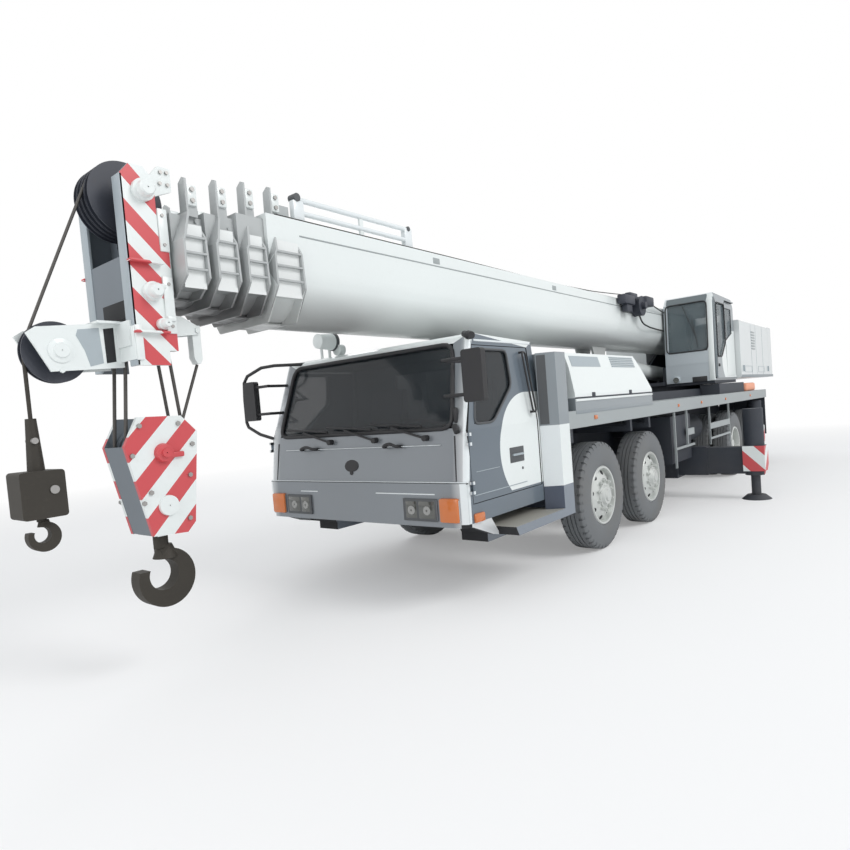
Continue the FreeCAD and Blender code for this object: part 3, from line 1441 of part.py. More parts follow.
def hook_shape(x, high, low, radius, thick):
    """A plain J hook: shank, bowl and point."""
    shank = rod("Z", thick * 0.42, (x, 0, low + radius * 2), high - low - radius * 2)
    bowl = cut(
        fuse(rod("Y", radius, (x, -thick / 2, low + radius), thick)),
        rod("Y", radius * 0.52, (x + radius * 0.12, -thick / 2 - 5, low + radius * 1.12),
            thick + 10),
        box((x + radius * 0.12, x + radius + 20), (-thick / 2 - 5, thick / 2 + 5),
            (low + radius * 1.35, low + radius * 2 + 30)))
    neck = cone("Z", radius * 0.42, thick * 0.42, (x - radius * 0.12, 0, low + radius * 1.65),
                radius * 0.45)
    return fuse(shank, bowl, neck)


def make_main_ropes():
    falls = []
    x = ahead(S.hang_ahead)
    for way in (-1, 1):
        for side in (-S.rope_side, S.rope_side):
            falls.append(rope((x + S.block_spread * way, S.block_high),
                              (x + (S.fall_spread - 1.2) * way, S.hang_high + 12), side))
    return falls


def make_small_hook():
    x = ahead(S.small_ahead)
    weight = rounded(box((x - 110, x + 120), (-100, 100), (1165, 1430)), 20,
                     lambda middle, direction: along(direction, "y"))
    socket = cone("Z", 45, 28, (x, 0, 1425), 300)
    line = rod("Z", S.rope_radius, (x, 0, 1700), S.nose_high - 1700)
    return fuse(weight, socket, line, hook_shape(x, size(1170), size(972), size(85), size(60)))


def lift_direction():
    rise = S.boss_high.value - S.heel_high.value
    run = S.heel_back.value - S.boss_back.value
    return Rotation(Vector(0, 1, 0), -math.degrees(math.atan2(rise, run)))


def make_lift_barrel():
    heel = (back(S.heel_back), 0, S.heel_high)
    tube = rod("X", S.barrel_radius, (120, 0, 0), S.barrel_length - 120)
    bore = rod("X", S.rod_radius + S.run_gap, (400, 0, 0), S.barrel_length)
    eye = rod("Y", 110, (0, -70, 0), 140)
    neck = box((0, 140), (-65, 65), (-90, 90))
    hole = rod("Y", 50 + S.run_gap, (0, -80, 0), 160)
    return moved(cut(fuse(tube, eye, neck), bore, hole), heel, lift_direction())


def make_lift_rod():
    heel = (back(S.heel_back), 0, S.heel_high)
    reach = math.hypot(S.boss_high.value - S.heel_high.value,
                       S.heel_back.value - S.boss_back.value)
    shaft = rod("X", S.rod_radius, (reach - 2900, 0, 0), 2860)
    eye = rod("Y", 100, (reach, -90, 0), 180)
    return moved(fuse(shaft, eye), heel, lift_direction())


# Assembly

node("chassis_frame", make_frame())
node("deck", make_deck())
node("platform", make_platform())
cab_shell, cab_glass, cab_door = make_cab()
node("cab_shell", cab_shell)
node("cab_glass", *cab_glass)
node("cab_door_left", *cab_door)
node("cab_door_right", *[mirrored(item) for item in cab_door])
node("front_bumper", make_face())
node("lamps", *make_lamps())
node("mirrors", *both_sides(make_mirror()))
node("cab_interior", *make_interior())
node("step_boxes", *both_sides(fuse(make_steps(), make_pillar())))
node("engine_hood", make_hood())
node("engine", make_engine())
node("boom_rest", make_boom_rest())
node("side_equipment", *both_sides(*make_guard(), make_locker(), make_tank(), make_flap()))
steer_spots = (S.axle_one, S.axle_one + S.steer_pitch)
drive_spots = (S.axle_three, S.axle_three + S.drive_pitch)
node("axles", *[steer_axle(spot) for spot in steer_spots],
     *[drive_axle(spot) for spot in drive_spots])
for word, side in (("left", 1), ("right", -1)):
    for number, spot in enumerate(steer_spots, 1):
        node(f"knuckle_{number}_{word}", make_knuckle(spot, side))
        node(f"wheel_{number}_{word}", *make_steer_wheel(spot, side))
    for number, spot in enumerate(drive_spots, 3):
        node(f"wheel_{number}_{word}", *make_twin_wheel(spot, side))
    # Beams are drawn on the left and mirrored, each in the lane of its own side
    for place_word, middle, reach, float_low in (
            ("front", S.outrigger_front, S.front_reach, size(0)),
            ("rear", S.outrigger_rear, size(0), S.leg_stored)):
        beam = make_beam(middle, side, reach)
        leg = make_leg(middle, side, reach, float_low)
        if side < 0:
            beam, leg = mirrored(beam), mirrored(leg)
        node(f"outrigger_{place_word}_{word}", beam)
        node(f"jack_{place_word}_{word}", leg)
node("upper_frame", make_upper_frame())
node("upper_body", make_body_cover(1), make_body_cover(-1))
node("counterweight", make_counterweight())
node("winch", make_winch())
operator_shell, operator_panes, operator_door = make_operator_cab()
node("operator_cab", operator_shell)
node("operator_glass", *operator_panes)
node("operator_door", *operator_door)
node("operator_seat", make_operator_seat())
node("lift_barrel", make_lift_barrel())
node("lift_rod", make_lift_rod())
node("boom_base", make_boom_base())
node("boom_top_rail", *make_top_rail())
for number in (1, 2, 3):
    node(f"boom_section_{number + 1}", make_section(number))
node("boom_section_5", make_head())
node("head_sheaves", *make_head_sheaves())
node("nose", *make_nose())
node("hook_block", make_hook_block())
node("main_hook", hook_shape(ahead(S.hang_ahead), size(935), size(460), size(190), size(110)))
node("main_ropes", *make_main_ropes())
node("small_hook", make_small_hook())

doc.recompute()
for item in doc.Objects:
    if "Invalid" in item.State or "Error" in item.State:
        raise RuntimeError(f"{item.Label} ({item.Name}) failed: {item.State}")
os.makedirs("parts", exist_ok=True)
for item in nodes:
    solids = item.Shape.Solids
    shape = solids[0] if len(solids) == 1 else Part.makeCompound(solids)
    if item.Shape.isNull() or not solids or not shape.isValid():
        raise RuntimeError(f"{item.Label} has no valid shape")
    shape.exportStep(f"parts/{item.Label}.step")
print(len(nodes), "nodes")
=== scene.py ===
"""Visual model of a four-axle truck crane with a telescopic boom, in its travelling position.

The frame is +X to the front of the carrier, +Y to its left and +Z up, in metres.
"""
import contextlib
import math

import bmesh
import bpy
from mathutils import Matrix, Vector


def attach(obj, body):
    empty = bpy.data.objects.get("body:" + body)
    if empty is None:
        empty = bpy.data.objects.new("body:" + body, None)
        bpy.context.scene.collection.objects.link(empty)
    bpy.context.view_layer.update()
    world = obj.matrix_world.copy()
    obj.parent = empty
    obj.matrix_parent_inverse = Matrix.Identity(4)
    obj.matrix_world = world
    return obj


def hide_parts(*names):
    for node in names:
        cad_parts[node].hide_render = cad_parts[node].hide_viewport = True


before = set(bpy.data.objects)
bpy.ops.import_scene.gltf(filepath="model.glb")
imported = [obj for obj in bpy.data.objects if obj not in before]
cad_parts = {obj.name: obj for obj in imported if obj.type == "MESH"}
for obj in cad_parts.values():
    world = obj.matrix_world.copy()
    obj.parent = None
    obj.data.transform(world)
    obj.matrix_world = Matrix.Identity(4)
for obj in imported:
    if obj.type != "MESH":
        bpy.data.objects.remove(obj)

bl_info = {
    "name": "Truck crane",
    "version": (1, 0, 0),
    "blender": (4, 5, 0),
    "location": "View3D > Sidebar > Crane",
    "description": "Paints the crane's CAD model and adds its trim, lamps, tyres and rigging",
    "category": "Add Mesh",
}

FRONT = 4.78
SIDES = {"left": 1.0, "right": -1.0}
STEERED_AXLES = {1: 2.361, 2: 3.828}
TWIN_AXLES = {3: 8.300, 4: 9.650}
AXLE_HEIGHT = 0.564

# Distances from the middle plane of the surfaces that trim sits on
WHEEL_FACE = 1.293
DOOR_SKIN = 1.2
HOOD_SIDE = 1.35
BODY_SIDE = 1.295
HEAD_CHEEK = 0.29
BLOCK_CHEEK = 0.150

# Distance ahead of the bumper and height of the nose's sheave pin
NOSE_PIN = (2.29, 2.10)


def back(distance):
    """X of a point that lies this far behind the front bumper."""
    return FRONT - distance


def at(distance, y, z):
    """Point that lies this far behind the front bumper."""
    return (back(distance), y, z)


def length(name, description, default):
    return bpy.props.FloatProperty(
        name=name, description=description, default=default, unit="LENGTH")


def count(name, description, default):
    return bpy.props.IntProperty(name=name, description=description, default=default)


def tint(name, description, *default):
    return bpy.props.FloatVectorProperty(
        name=name, description=description, subtype="COLOR", default=default)


class CraneSizes(bpy.types.PropertyGroup):
    """Sizes of the pieces that the CAD model leaves to this scene."""
    tread_blocks: count("Tread blocks", "Blocks round each tyre's shoulder", 42)
    tread_depth: length("Tread depth", "Depth of the tyre grooves", 0.014)
    wheel_nuts: count("Wheel nuts", "Nuts on each wheel", 10)
    hand_holes: count("Hand holes", "Holes in each wheel disc", 8)
    bolt_radius: length("Bolt radius", "Radius of the larger bolt heads", 0.016)
    stripe_pitch: length("Stripe pitch", "One red and one white stripe, across both", 0.184)
    block_stripe_pitch: length("Block stripe pitch", "Stripe pitch on the hook block", 0.205)
    beam_stripe_pitch: length("Beam stripe pitch", "Stripe pitch on the outrigger ends", 0.23)
    wiper_length: length("Wiper arm", "Length of a wiper arm", 0.36)


class CraneColours(bpy.types.PropertyGroup):
    """Linear colours of the crane's paints and materials."""
    boom_white: tint("Boom white", "Boom and hood paint", 0.78, 0.82, 0.81)
    silver: tint("Silver", "Front of the carrier's cab", 0.235, 0.255, 0.275)
    side_grey: tint("Side grey", "Doors of the carrier's cab", 0.125, 0.155, 0.185)
    light_grey: tint("Light grey", "Deck edge, roof and small parts", 0.34, 0.37, 0.375)
    mid_grey: tint("Mid grey", "Small trim, seams and louvres", 0.37, 0.42, 0.45)
    box_grey: tint("Box grey", "Lower side of the step boxes", 0.19, 0.22, 0.26)
    pale: tint("Pale", "Pillars and corners", 0.76, 0.80, 0.81)
    # on the rounded corners of the cab and the bumper, pale is a painted highlight
    frame_dark: tint("Frame dark", "Chassis, lockers and mudflaps", 0.028, 0.034, 0.046)
    stripe_red: tint("Stripe red", "Warning stripes", 0.60, 0.075, 0.085)
    dirt: tint("Dirt", "Road dust", 0.20, 0.17, 0.13)
    rubber: tint("Rubber", "Tyres", 0.165, 0.174, 0.182)
    hook: tint("Hook steel", "Hooks and weights", 0.032, 0.028, 0.022)
    collar: tint("Collar grey", "Collars of the boom's sections", 0.44, 0.46, 0.46)
    # painted shade on the head's inner sides and front and on the hook block's middle
    inner_shade_grey: tint("Inner shade grey", "Inner sides of the boom's head", 0.155, 0.180, 0.205)
    side_trim: tint("Side trim grey", "Lower band of the hood and the cab's sides",
                    0.25, 0.28, 0.30)
    amber: tint("Amber", "Turn signals", 0.60, 0.16, 0.03)


def sizes():
    return bpy.context.scene.crane_sizes


def colours():
    return bpy.context.scene.crane_colours


# Shader groups and materials

def set_inputs(tree, item, values):
    """Sets or links a node's inputs, by label or index."""
    for label, value in values.items():
        if isinstance(value, bpy.types.NodeSocket):
            tree.links.new(value, item.inputs[label])
        else:
            item.inputs[label].default_value = value


def add_node(tree, kind, values, **settings):
    """Node with its settings and inputs."""
    item = tree.nodes.new(kind)
    for label, value in settings.items():
        setattr(item, label, value)
    set_inputs(tree, item, values)
    return item


def math_node(tree, operation, *values):
    inputs = dict(enumerate(values))
    return add_node(tree, "ShaderNodeMath", inputs, operation=operation).outputs[0]


def mix_colour(tree, factor, first, second):
    """Mix of two colours. A mix node takes them in its inputs 6 and 7 and gives one in output 2."""
    inputs = {0: factor, 6: first, 7: second}
    return add_node(tree, "ShaderNodeMix", inputs, data_type="RGBA").outputs[2]


def noise(tree, vector, scale, detail):
    inputs = {"Vector": vector, "Scale": scale, "Detail": detail}
    return add_node(tree, "ShaderNodeTexNoise", inputs).outputs["Fac"]


def spread(tree, value, low, high, new_low=0.0, new_high=1.0):
    inputs = {"Value": value, "From Min": low, "From Max": high, "To Min": new_low,
              "To Max": new_high}
    return add_node(tree, "ShaderNodeMapRange", inputs).outputs["Result"]


def object_place(tree):
    return tree.nodes.new("ShaderNodeTexCoord").outputs["Object"]


def place_parts(tree):
    """The X, Y and Z sockets of the place on the object."""
    return add_node(tree, "ShaderNodeSeparateXYZ", {0: object_place(tree)}).outputs


def new_group(name, inputs, outputs):
    """Shader node group, with the sockets of its inputs and outputs."""
    group = bpy.data.node_groups.new(name, "ShaderNodeTree")
    for label, kind, value in inputs:
        socket = group.interface.new_socket(
            label, in_out="INPUT", socket_type=f"NodeSocket{kind}")
        socket.default_value = value
    for label, kind in outputs:
        group.interface.new_socket(label, in_out="OUTPUT", socket_type=f"NodeSocket{kind}")
    source = group.nodes.new("NodeGroupInput").outputs
    target = group.nodes.new("NodeGroupOutput").inputs
    return group, source, target


def weathering_group():
    """Colour broken up by large soft patches, fine specks and dust low on the vehicle."""
    group, source, target = new_group(
        "Weathering",
        (("Colour", "Color", (0.5, 0.5, 0.5, 1.0)),
         ("Dirt colour", "Color", (0.2, 0.17, 0.13, 1.0)),
         ("Dirt", "Float", 0.2), ("Roughness", "Float", 0.4)),
        (("Colour", "Color"), ("Roughness", "Float")))
    place = object_place(group)
    patches = spread(group, noise(group, place, 1.7, 5.0), 0.42, 0.75)
    specks = spread(group, noise(group, place, 38.0, 3.0), 0.55, 0.80)
    low = spread(group, place_parts(group)["Z"], 0.2, 1.5, 0.9, 0.12)
    soil = math_node(group, "MULTIPLY", patches, low)
    soil = math_node(group, "ADD", soil, math_node(group, "MULTIPLY", specks, 0.35))
    soil = math_node(group, "MULTIPLY", soil, source["Dirt"])
    colour = mix_colour(group, soil, source["Colour"], source["Dirt colour"])
    group.links.new(colour, target["Colour"])
    rough = math_node(group, "MULTIPLY_ADD", soil, 0.5, source["Roughness"])
    group.links.new(rough, target["Roughness"])


def stripe_group():
    """Mask of slanted stripes: 1 where the second colour goes."""
    group, source, target = new_group(
        "Stripes",
        (("Direction", "Vector", (1.0, 0.0, 1.0)), ("Pitch", "Float", 0.4),
         ("Shift", "Float", 0.0)),
        (("Mask", "Float"),))
    inputs = {0: object_place(group), 1: source["Direction"]}
    along = add_node(group, "ShaderNodeVectorMath", inputs, operation="DOT_PRODUCT")
    turns = math_node(group, "DIVIDE", along.outputs["Value"], source["Pitch"])
    turns = math_node(group, "ADD", turns, source["Shift"])
    mask = math_node(group, "GREATER_THAN", math_node(group, "FRACT", turns), 0.5)
    group.links.new(mask, target["Mask"])


def zone_group():
    """Masks of a side panel and of what lies above a height.

    The panel is half an oval and all behind it, as far down as that height.
    """
    group, source, target = new_group(
        "Zones",
        [(label, "Float", value) for label, value in (
            ("Centre X", 0.0), ("Centre Z", 0.0), ("Half length", 0.5), ("Half height", 0.5),
            ("Level", 1.0))],
        (("Oval", "Float"), ("Above", "Float")))
    parts = place_parts(group)
    squares = []
    for axis, half in (("X", "Half length"), ("Z", "Half height")):
        gap = math_node(group, "SUBTRACT", parts[axis], source[f"Centre {axis}"])
        ratio = math_node(group, "DIVIDE", gap, source[half])
        squares.append(math_node(group, "MULTIPLY", ratio, ratio))
    oval = math_node(group, "LESS_THAN", math_node(group, "ADD", *squares), 1.0)
    behind = math_node(group, "LESS_THAN", parts["X"], source["Centre X"])
    top = math_node(group, "ADD", source["Centre Z"], source["Half height"])
    under = math_node(group, "LESS_THAN", parts["Z"], top)
    panel = math_node(group, "MAXIMUM", oval, math_node(group, "MULTIPLY", behind, under))
    above = math_node(group, "GREATER_THAN", parts["Z"], source["Level"])
    panel = math_node(group, "MULTIPLY", panel, above)
    group.links.new(panel, target["Oval"])
    group.links.new(above, target["Above"])


def new_material(name):
    material = bpy.data.materials.new(name)
    material.use_nodes = True
    return material, material.node_tree, material.node_tree.nodes["Principled BSDF"]


def rgba(colour):
    """Opaque colour, from three values or the name of one of CraneColours."""
    values = getattr(colours(), colour) if isinstance(colour, str) else colour
    return (*values, 1.0)


def plain(name, colour, roughness, metallic=0.0, alpha=1.0, coat=0.0):
    """Material of one colour."""
    material, tree, shader = new_material(name)
    set_inputs(tree, shader, {
        "Base Color": rgba(colour), "Roughness": roughness, "Metallic": metallic,
        "Alpha": alpha, "Coat Weight": coat})
    material.diffuse_color = rgba(colour)
    return material


def weathered(name, colour, dirt, roughness, metallic=0.0, coat=0.0):
    """Paint with dust. colour may also be a function that returns a colour socket."""
    material, tree, shader = new_material(name)
    if callable(colour):
        shown = colour(tree)
    else:
        shown = rgba(colour)
        material.diffuse_color = shown
    inputs = {"Colour": shown, "Dirt colour": rgba("dirt"), "Dirt": dirt, "Roughness": roughness}
    group = add_node(tree, "ShaderNodeGroup", inputs,
                     node_tree=bpy.data.node_groups["Weathering"])
    set_inputs(tree, shader, {
        "Base Color": group.outputs["Colour"], "Roughness": group.outputs["Roughness"],
        "Metallic": metallic, "Coat Weight": coat})
    return material


def striped(name, direction, pitch, shift):
    """Red and white warning stripes across a direction in the row frame."""
    def colour(tree):
        inputs = {"Direction": Vector(direction).normalized(), "Pitch": pitch, "Shift": shift}
        group = add_node(tree, "ShaderNodeGroup", inputs,
                         node_tree=bpy.data.node_groups["Stripes"])
        return mix_colour(tree, group.outputs["Mask"], rgba("boom_white"), rgba("stripe_red"))
    return weathered(name, colour, 0.12, 0.35)


def two_tone(name, output, first, second, panel, level):
    """first outside the zone, second inside it. panel is the oval's middle and half size."""
    def colour(tree):
        centre, half = panel
        inputs = {"Centre X": centre[0], "Centre Z": centre[1], "Half length": half[0],
                  "Half height": half[1], "Level": level}
        group = add_node(tree, "ShaderNodeGroup", inputs,
                         node_tree=bpy.data.node_groups["Zones"])
        return mix_colour(tree, group.outputs[output], rgba(first), rgba(second))
    return weathered(name, colour, 0.10, 0.35, coat=0.3)


def shaded_below(name, shade_colour, paint_colour, low, high, roughness):
    """Paint with painted shade below, turning from one colour to another between two heights."""
    def colour(tree):
        share = spread(tree, place_parts(tree)["Z"], low, high)
        return mix_colour(tree, share, rgba(shade_colour), rgba(paint_colour))
    return weathered(name, colour, 0.08, roughness, coat=0.35)


def edge_highlighted(name, middle_colour, highlight_colour, inner, outer, metallic):
    """Paint that turns lighter towards a panel's left and right edges, as a painted highlight."""
    def colour(tree):
        side = math_node(tree, "ABSOLUTE", place_parts(tree)["Y"])
        share = spread(tree, side, inner, outer)
        return mix_colour(tree, share, rgba(middle_colour), rgba(highlight_colour))
    return weathered(name, colour, 0.08, 0.34, metallic, coat=0.5)


def banded(name, *bands):
    """Three colours one above the other, parted at the levels of the step boxes."""
    def colour(tree):
        height = place_parts(tree)["Z"]
        shown = rgba(bands[0])
        for level, band in zip(BOX_LEVELS, bands[1:]):
            above = math_node(tree, "GREATER_THAN", height, level)
            shown = mix_colour(tree, above, shown, rgba(band))
        return shown
    return weathered(name, colour, 0.08, 0.38, coat=0.3)


# Middle and half size of the ovals on the sides of the two cabs, in X and Z
DOOR_PANEL = ((back(1.05), 1.20), (0.52, 0.49))
OPERATOR_PANEL = ((back(8.93), 2.05), (1.13, 0.57))
BOX_LEVELS = (0.82, 1.372)

# Name, slot, colour, roughness, metallic, alpha and coat
PLAIN_FINISHES = {
    "slate": ("Slate grey", "trim_plastic", (0.075, 0.080, 0.085), 0.5),
    "brow": ("Roof pane", "window_glass", (0.15, 0.18, 0.19), 0.25),
    # near black; on the bumper wings, the step boxes' feet, the hand holes, the head's recess and
    # the nose's slot it is painted shade
    "deep": ("Dark inside", "trim_plastic", (0.018, 0.019, 0.021), 0.8),
    "rope": ("Wire rope", "rope_steel", (0.09, 0.085, 0.08), 0.55, 0.6),
    "chrome": ("Chrome", "rod_chrome", (0.70, 0.71, 0.72), 0.12, 1.0),
    "bolt": ("Bolt steel", "rod_chrome", (0.35, 0.34, 0.33), 0.4, 0.8),
    "glass": ("Window glass", "window_glass", (0.035, 0.042, 0.048), 0.06, 0.0, 0.55),
    "pane": ("Operator's window", "window_glass", (0.20, 0.25, 0.27), 0.06, 0.0, 0.42),
    "lens": ("Clear lens", "lamp_plastic", (0.085, 0.088, 0.080), 0.12, 0.25, 1.0, 1.0),
    "reflector": ("Reflector", "lamp_plastic", (0.34, 0.34, 0.33), 0.25, 0.5),
    "amber": ("Amber lens", "lamp_plastic", "amber", 0.25, 0.0, 1.0, 0.6),
    "red_lens": ("Red lens", "lamp_plastic", (0.45, 0.01, 0.01), 0.25, 0.0, 1.0, 0.6),
    "mirror": ("Mirror glass", "rod_chrome", (0.85, 0.86, 0.88), 0.02, 1.0),
    "black": ("Black plastic", "trim_plastic", (0.020, 0.020, 0.022), 0.55),
    "seat": ("Seat fabric", "seat_fabric", (0.075, 0.034, 0.036), 0.9),
    "rubber": ("Hose rubber", "trim_plastic", (0.018, 0.018, 0.018), 0.5),
}

# Name, slot, colour, dirt, roughness, metallic and coat
WEATHERED_FINISHES = {
    # painted shade on the inner sides and front of the head and the hook block's middle
    "inside": ("Inner shade grey", "grey_paint", "inner_shade_grey", 0.15, 0.45),
    "white": ("White paint", "white_paint", "boom_white", 0.10, 0.38, 0.0, 0.3),
    "side": ("Side grey paint", "grey_paint", "side_trim", 0.10, 0.40),
    "operator_front": ("Operator cab front", "grey_paint", (0.50, 0.55, 0.58), 0.08, 0.40),
    "body": ("Body paint", "white_paint", (0.66, 0.69, 0.69), 0.10, 0.40, 0.0, 0.3),
    "panel": ("Collar panel", "white_paint", (0.80, 0.82, 0.81), 0.15, 0.45),
    "pale": ("Pale paint", "white_paint", "pale", 0.10, 0.38, 0.0, 0.3),
    "tread": ("Step tread", "grey_paint", (0.42, 0.41, 0.37), 0.2, 0.5, 0.3),
    "orange": ("Orange paint", "red_stripe", (0.95, 0.42, 0.26), 0.05, 0.5),
    "grey": ("Grey paint", "grey_paint", "light_grey", 0.12, 0.45),
    "mid_grey": ("Mid grey paint", "grey_paint", "mid_grey", 0.12, 0.45),
    "dark": ("Chassis paint", "dark_paint", "frame_dark", 0.16, 0.60),
    "red": ("Red paint", "red_stripe", "stripe_red", 0.10, 0.35),
    "hook": ("Hook steel", "hook_steel", "hook", 0.15, 0.62, 0.2),
    "sheave": ("Sheave", "hook_steel", (0.035, 0.040, 0.055), 0.2, 0.5),
    "tyre": ("Tyre", "tyre_rubber", "rubber", 0.45, 0.82),
    "rim": ("Rim", "white_paint", (0.62, 0.64, 0.62), 0.15, 0.38, 0.35),
}

# Each finish's material and slot, filled by make_finishes
FINISHES = {}


def make_finishes():
    """Makes the node groups and every material."""
    weathering_group()
    stripe_group()
    zone_group()
    for make, rows in ((plain, PLAIN_FINISHES), (weathered, WEATHERED_FINISHES)):
        for key, (name, slot, *values) in rows.items():
            FINISHES[key] = (make(name, *values), slot)
    size = sizes()
    beam_pitch = size.beam_stripe_pitch
    special = {
        "white_paint": {
            # the boom and its collars darken towards the bottom as painted shade
            "boom": shaded_below("Boom paint", (0.44, 0.45, 0.44), "boom_white", 2.33, 2.60, 0.32),
            "collar": shaded_below("Collar paint", (0.13, 0.13, 0.13), "collar", 2.40, 2.58, 0.40),
            "hood": two_tone("Hood paint", "Above", "side_trim", "boom_white", DOOR_PANEL, 1.60),
            "box_side": banded("Step box side", "box_grey", "boom_white", (0.26, 0.29, 0.31)),
            # the box fronts take darker copies of the sides' bands, as painted shade
            "box_front": banded("Step box front in painted shade", (0.045, 0.060, 0.095), "pale",
                                (0.24, 0.27, 0.29)),
        },
        "grey_paint": {
            # the silver lightens towards the cab's corners as a painted highlight
            "silver": edge_highlighted("Silver paint", "silver", (0.68, 0.70, 0.71), 1.06, 1.18, 0.35),
            "door": two_tone("Door paint", "Oval", "side_grey", "boom_white", DOOR_PANEL, 0.868),
            "operator_side": two_tone("Operator cab side", "Oval", "side_trim", "boom_white",
                                      OPERATOR_PANEL, 1.765),
        },
        "red_stripe": {
            "head": striped("Head stripes", (1.0, 0.0, -1.0), size.stripe_pitch, 0.158),
            "block": striped("Block stripes", (1.0, 0.0, 1.0), size.block_stripe_pitch, 0.231),
            "beam_left": striped("Left beam stripes", (1.0, 1.0, 1.0), beam_pitch, 0.437),
            "beam_right": striped("Right beam stripes", (1.0, -1.0, 1.0), beam_pitch, 0.437),
        },
    }
    for slot, materials in special.items():
        for key, material in materials.items():
            FINISHES[key] = (material, slot)


# Piece building

SHARP_ANGLE = 32.0
WHEEL_STEPS = 48


def add_box(bm, low, high, bevel=0.0, segments=2):
    """Box between two corners, with rounded edges if bevel is given."""
    low = Vector(low)
    high = Vector(high)
    verts = bmesh.ops.create_cube(bm, size=1.0)["verts"]
    bmesh.ops.scale(bm, vec=high - low, verts=verts)
    bmesh.ops.translate(bm, vec=(low + high) / 2.0, verts=verts)
    if bevel > 0.0:
        edges = list({edge for vert in verts for edge in vert.link_edges})
        round_edges(bm, edges, bevel, segments)


def round_edges(bm, edges, offset, segments=2):
    bmesh.ops.bevel(bm, geom=edges, offset=offset, offset_type="OFFSET", segments=segments,
                    profile=0.5, affect="EDGES", material=-1)


def add_side_box(bm, sign, low, high, bevel=0.0):
    """Box of the left side, or its mirror image on the right if sign is negative."""
    if sign < 0.0:
        low, high = (low[0], -high[1], low[2]), (high[0], -low[1], high[2])
    add_box(bm, low, high, bevel)


def add_pair(bm, low, high, bevel=0.0):
    """The same box on the left and on the right."""
    for sign in SIDES.values():
        add_side_box(bm, sign, low, high, bevel)


def add_rod(bm, start, end, radius, sides=16, end_radius=None):
    """Rod or cone between two points."""
    start = Vector(start)
    end = Vector(end)
    axis = end - start
    turn = axis.to_track_quat("Z", "Y").to_matrix().to_4x4()
    spot = Matrix.Translation((start + end) / 2.0) @ turn
    made = bmesh.ops.create_cone(
        bm, cap_ends=True, cap_tris=False, segments=sides, radius1=radius,
        radius2=radius if end_radius is None else end_radius, depth=axis.length, matrix=spot)
    return made["verts"]


def add_pin(bm, x, z, start, end, radius, sides=16, end_radius=None):
    """Rod or cone across the crane."""
    add_rod(bm, (x, start, z), (x, end, z), radius, sides, end_radius)


def add_pin_pair(bm, x, z, start, end, radius, sides=16):
    """The same rod across the left and the right side."""
    for sign in SIDES.values():
        add_pin(bm, x, z, sign * start, sign * end, radius, sides)


def add_plate(bm, plane, points, low, high):
    """Flat outline pulled from low to high. plane is XZ, YZ or XY."""
    places = {"XZ": lambda a, b: (a, low, b), "YZ": lambda a, b: (low, a, b),
              "XY": lambda a, b: (a, b, low)}
    pull = {"XZ": (0, high - low, 0), "YZ": (high - low, 0, 0), "XY": (0, 0, high - low)}
    face = bm.faces.new([bm.verts.new(places[plane](*point)) for point in points])
    bmesh.ops.translate(bm, vec=pull[plane], verts=extrude(bm, [face]))


def extrude(bm, faces):
    """Extrudes faces as one region and returns its moved vertices."""
    made = bmesh.ops.extrude_face_region(bm, geom=faces)
    return [item for item in made["geom"] if isinstance(item, bmesh.types.BMVert)]


def add_turned(bm, centre, profile, steps, axis="Y"):
    """Closed profile of (along, radius) points turned round the X or Y axis through centre."""
    centre = Vector(centre)
    along = Vector((1, 0, 0)) if axis == "X" else Vector((0, 1, 0))
    out = Vector((0, 0, 1))
    verts = [bm.verts.new(centre + along * a + out * r) for a, r in profile]
    edges = [bm.edges.new((verts[i - 1], verts[i])) for i in range(len(verts))]
    bmesh.ops.spin(bm, geom=verts + edges, cent=centre, axis=along, angle=math.tau, steps=steps,
                   use_merge=True)
    bmesh.ops.remove_doubles(bm, verts=bm.verts, dist=1e-6)


def add_cap(bm, sign, x, z, face, profile, steps):
    """Profile turned round a crosswise axis, with its distances taken outwards from face."""
    add_turned(bm, (x, 0.0, z), [(sign * (face + a), r) for a, r in profile], steps)


def add_cap_pair(bm, x, z, face, profile, steps):
    """The same turned cap on the left and on the right."""
    for sign in SIDES.values():
        add_cap(bm, sign, x, z, face, profile, steps)


def around(number, radius, phase):
    """Points (a, b) on a circle."""
    for index in range(number):
        angle = math.tau * (index + phase) / number
        yield radius * math.cos(angle), radius * math.sin(angle)


def evenly(number, start, pitch):
    """Evenly spaced distances or heights."""
    return [start + step * pitch for step in range(number)]


def rounded_loop(corners, radius, steps=4):
    """Closed run of points with each corner rounded."""
    points = []
    for index, corner in enumerate(corners):
        corner = Vector(corner)
        before = (Vector(corners[index - 1]) - corner).normalized()
        after = (Vector(corners[(index + 1) % len(corners)]) - corner).normalized()
        for step in range(steps + 1):
            part = step / steps
            first = corner + before * radius * (1.0 - part)
            second = corner + after * radius * part
            points.append(first.lerp(second, part))
    points.append(points[0])
    return points


def place_object(name, data, body, finish):
    """Object of a finish that rides on a body."""
    item = bpy.data.objects.new(name, data)
    bpy.context.scene.collection.objects.link(item)
    material, slot = FINISHES[finish]
    data.materials.append(material)
    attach(item, body)


@contextlib.contextmanager
def piece(name, body, finish):
    """Empty mesh to model in. It becomes an object that rides on a body when the block ends."""
    bm = bmesh.new()
    yield bm
    bmesh.ops.recalc_face_normals(bm, faces=bm.faces)
    for face in bm.faces:
        face.smooth = True
    mesh = bpy.data.meshes.new(name)
    bm.to_mesh(mesh)
    bm.free()
    mesh.set_sharp_from_angle(angle=math.radians(SHARP_ANGLE))
    place_object(name, mesh, body, finish)


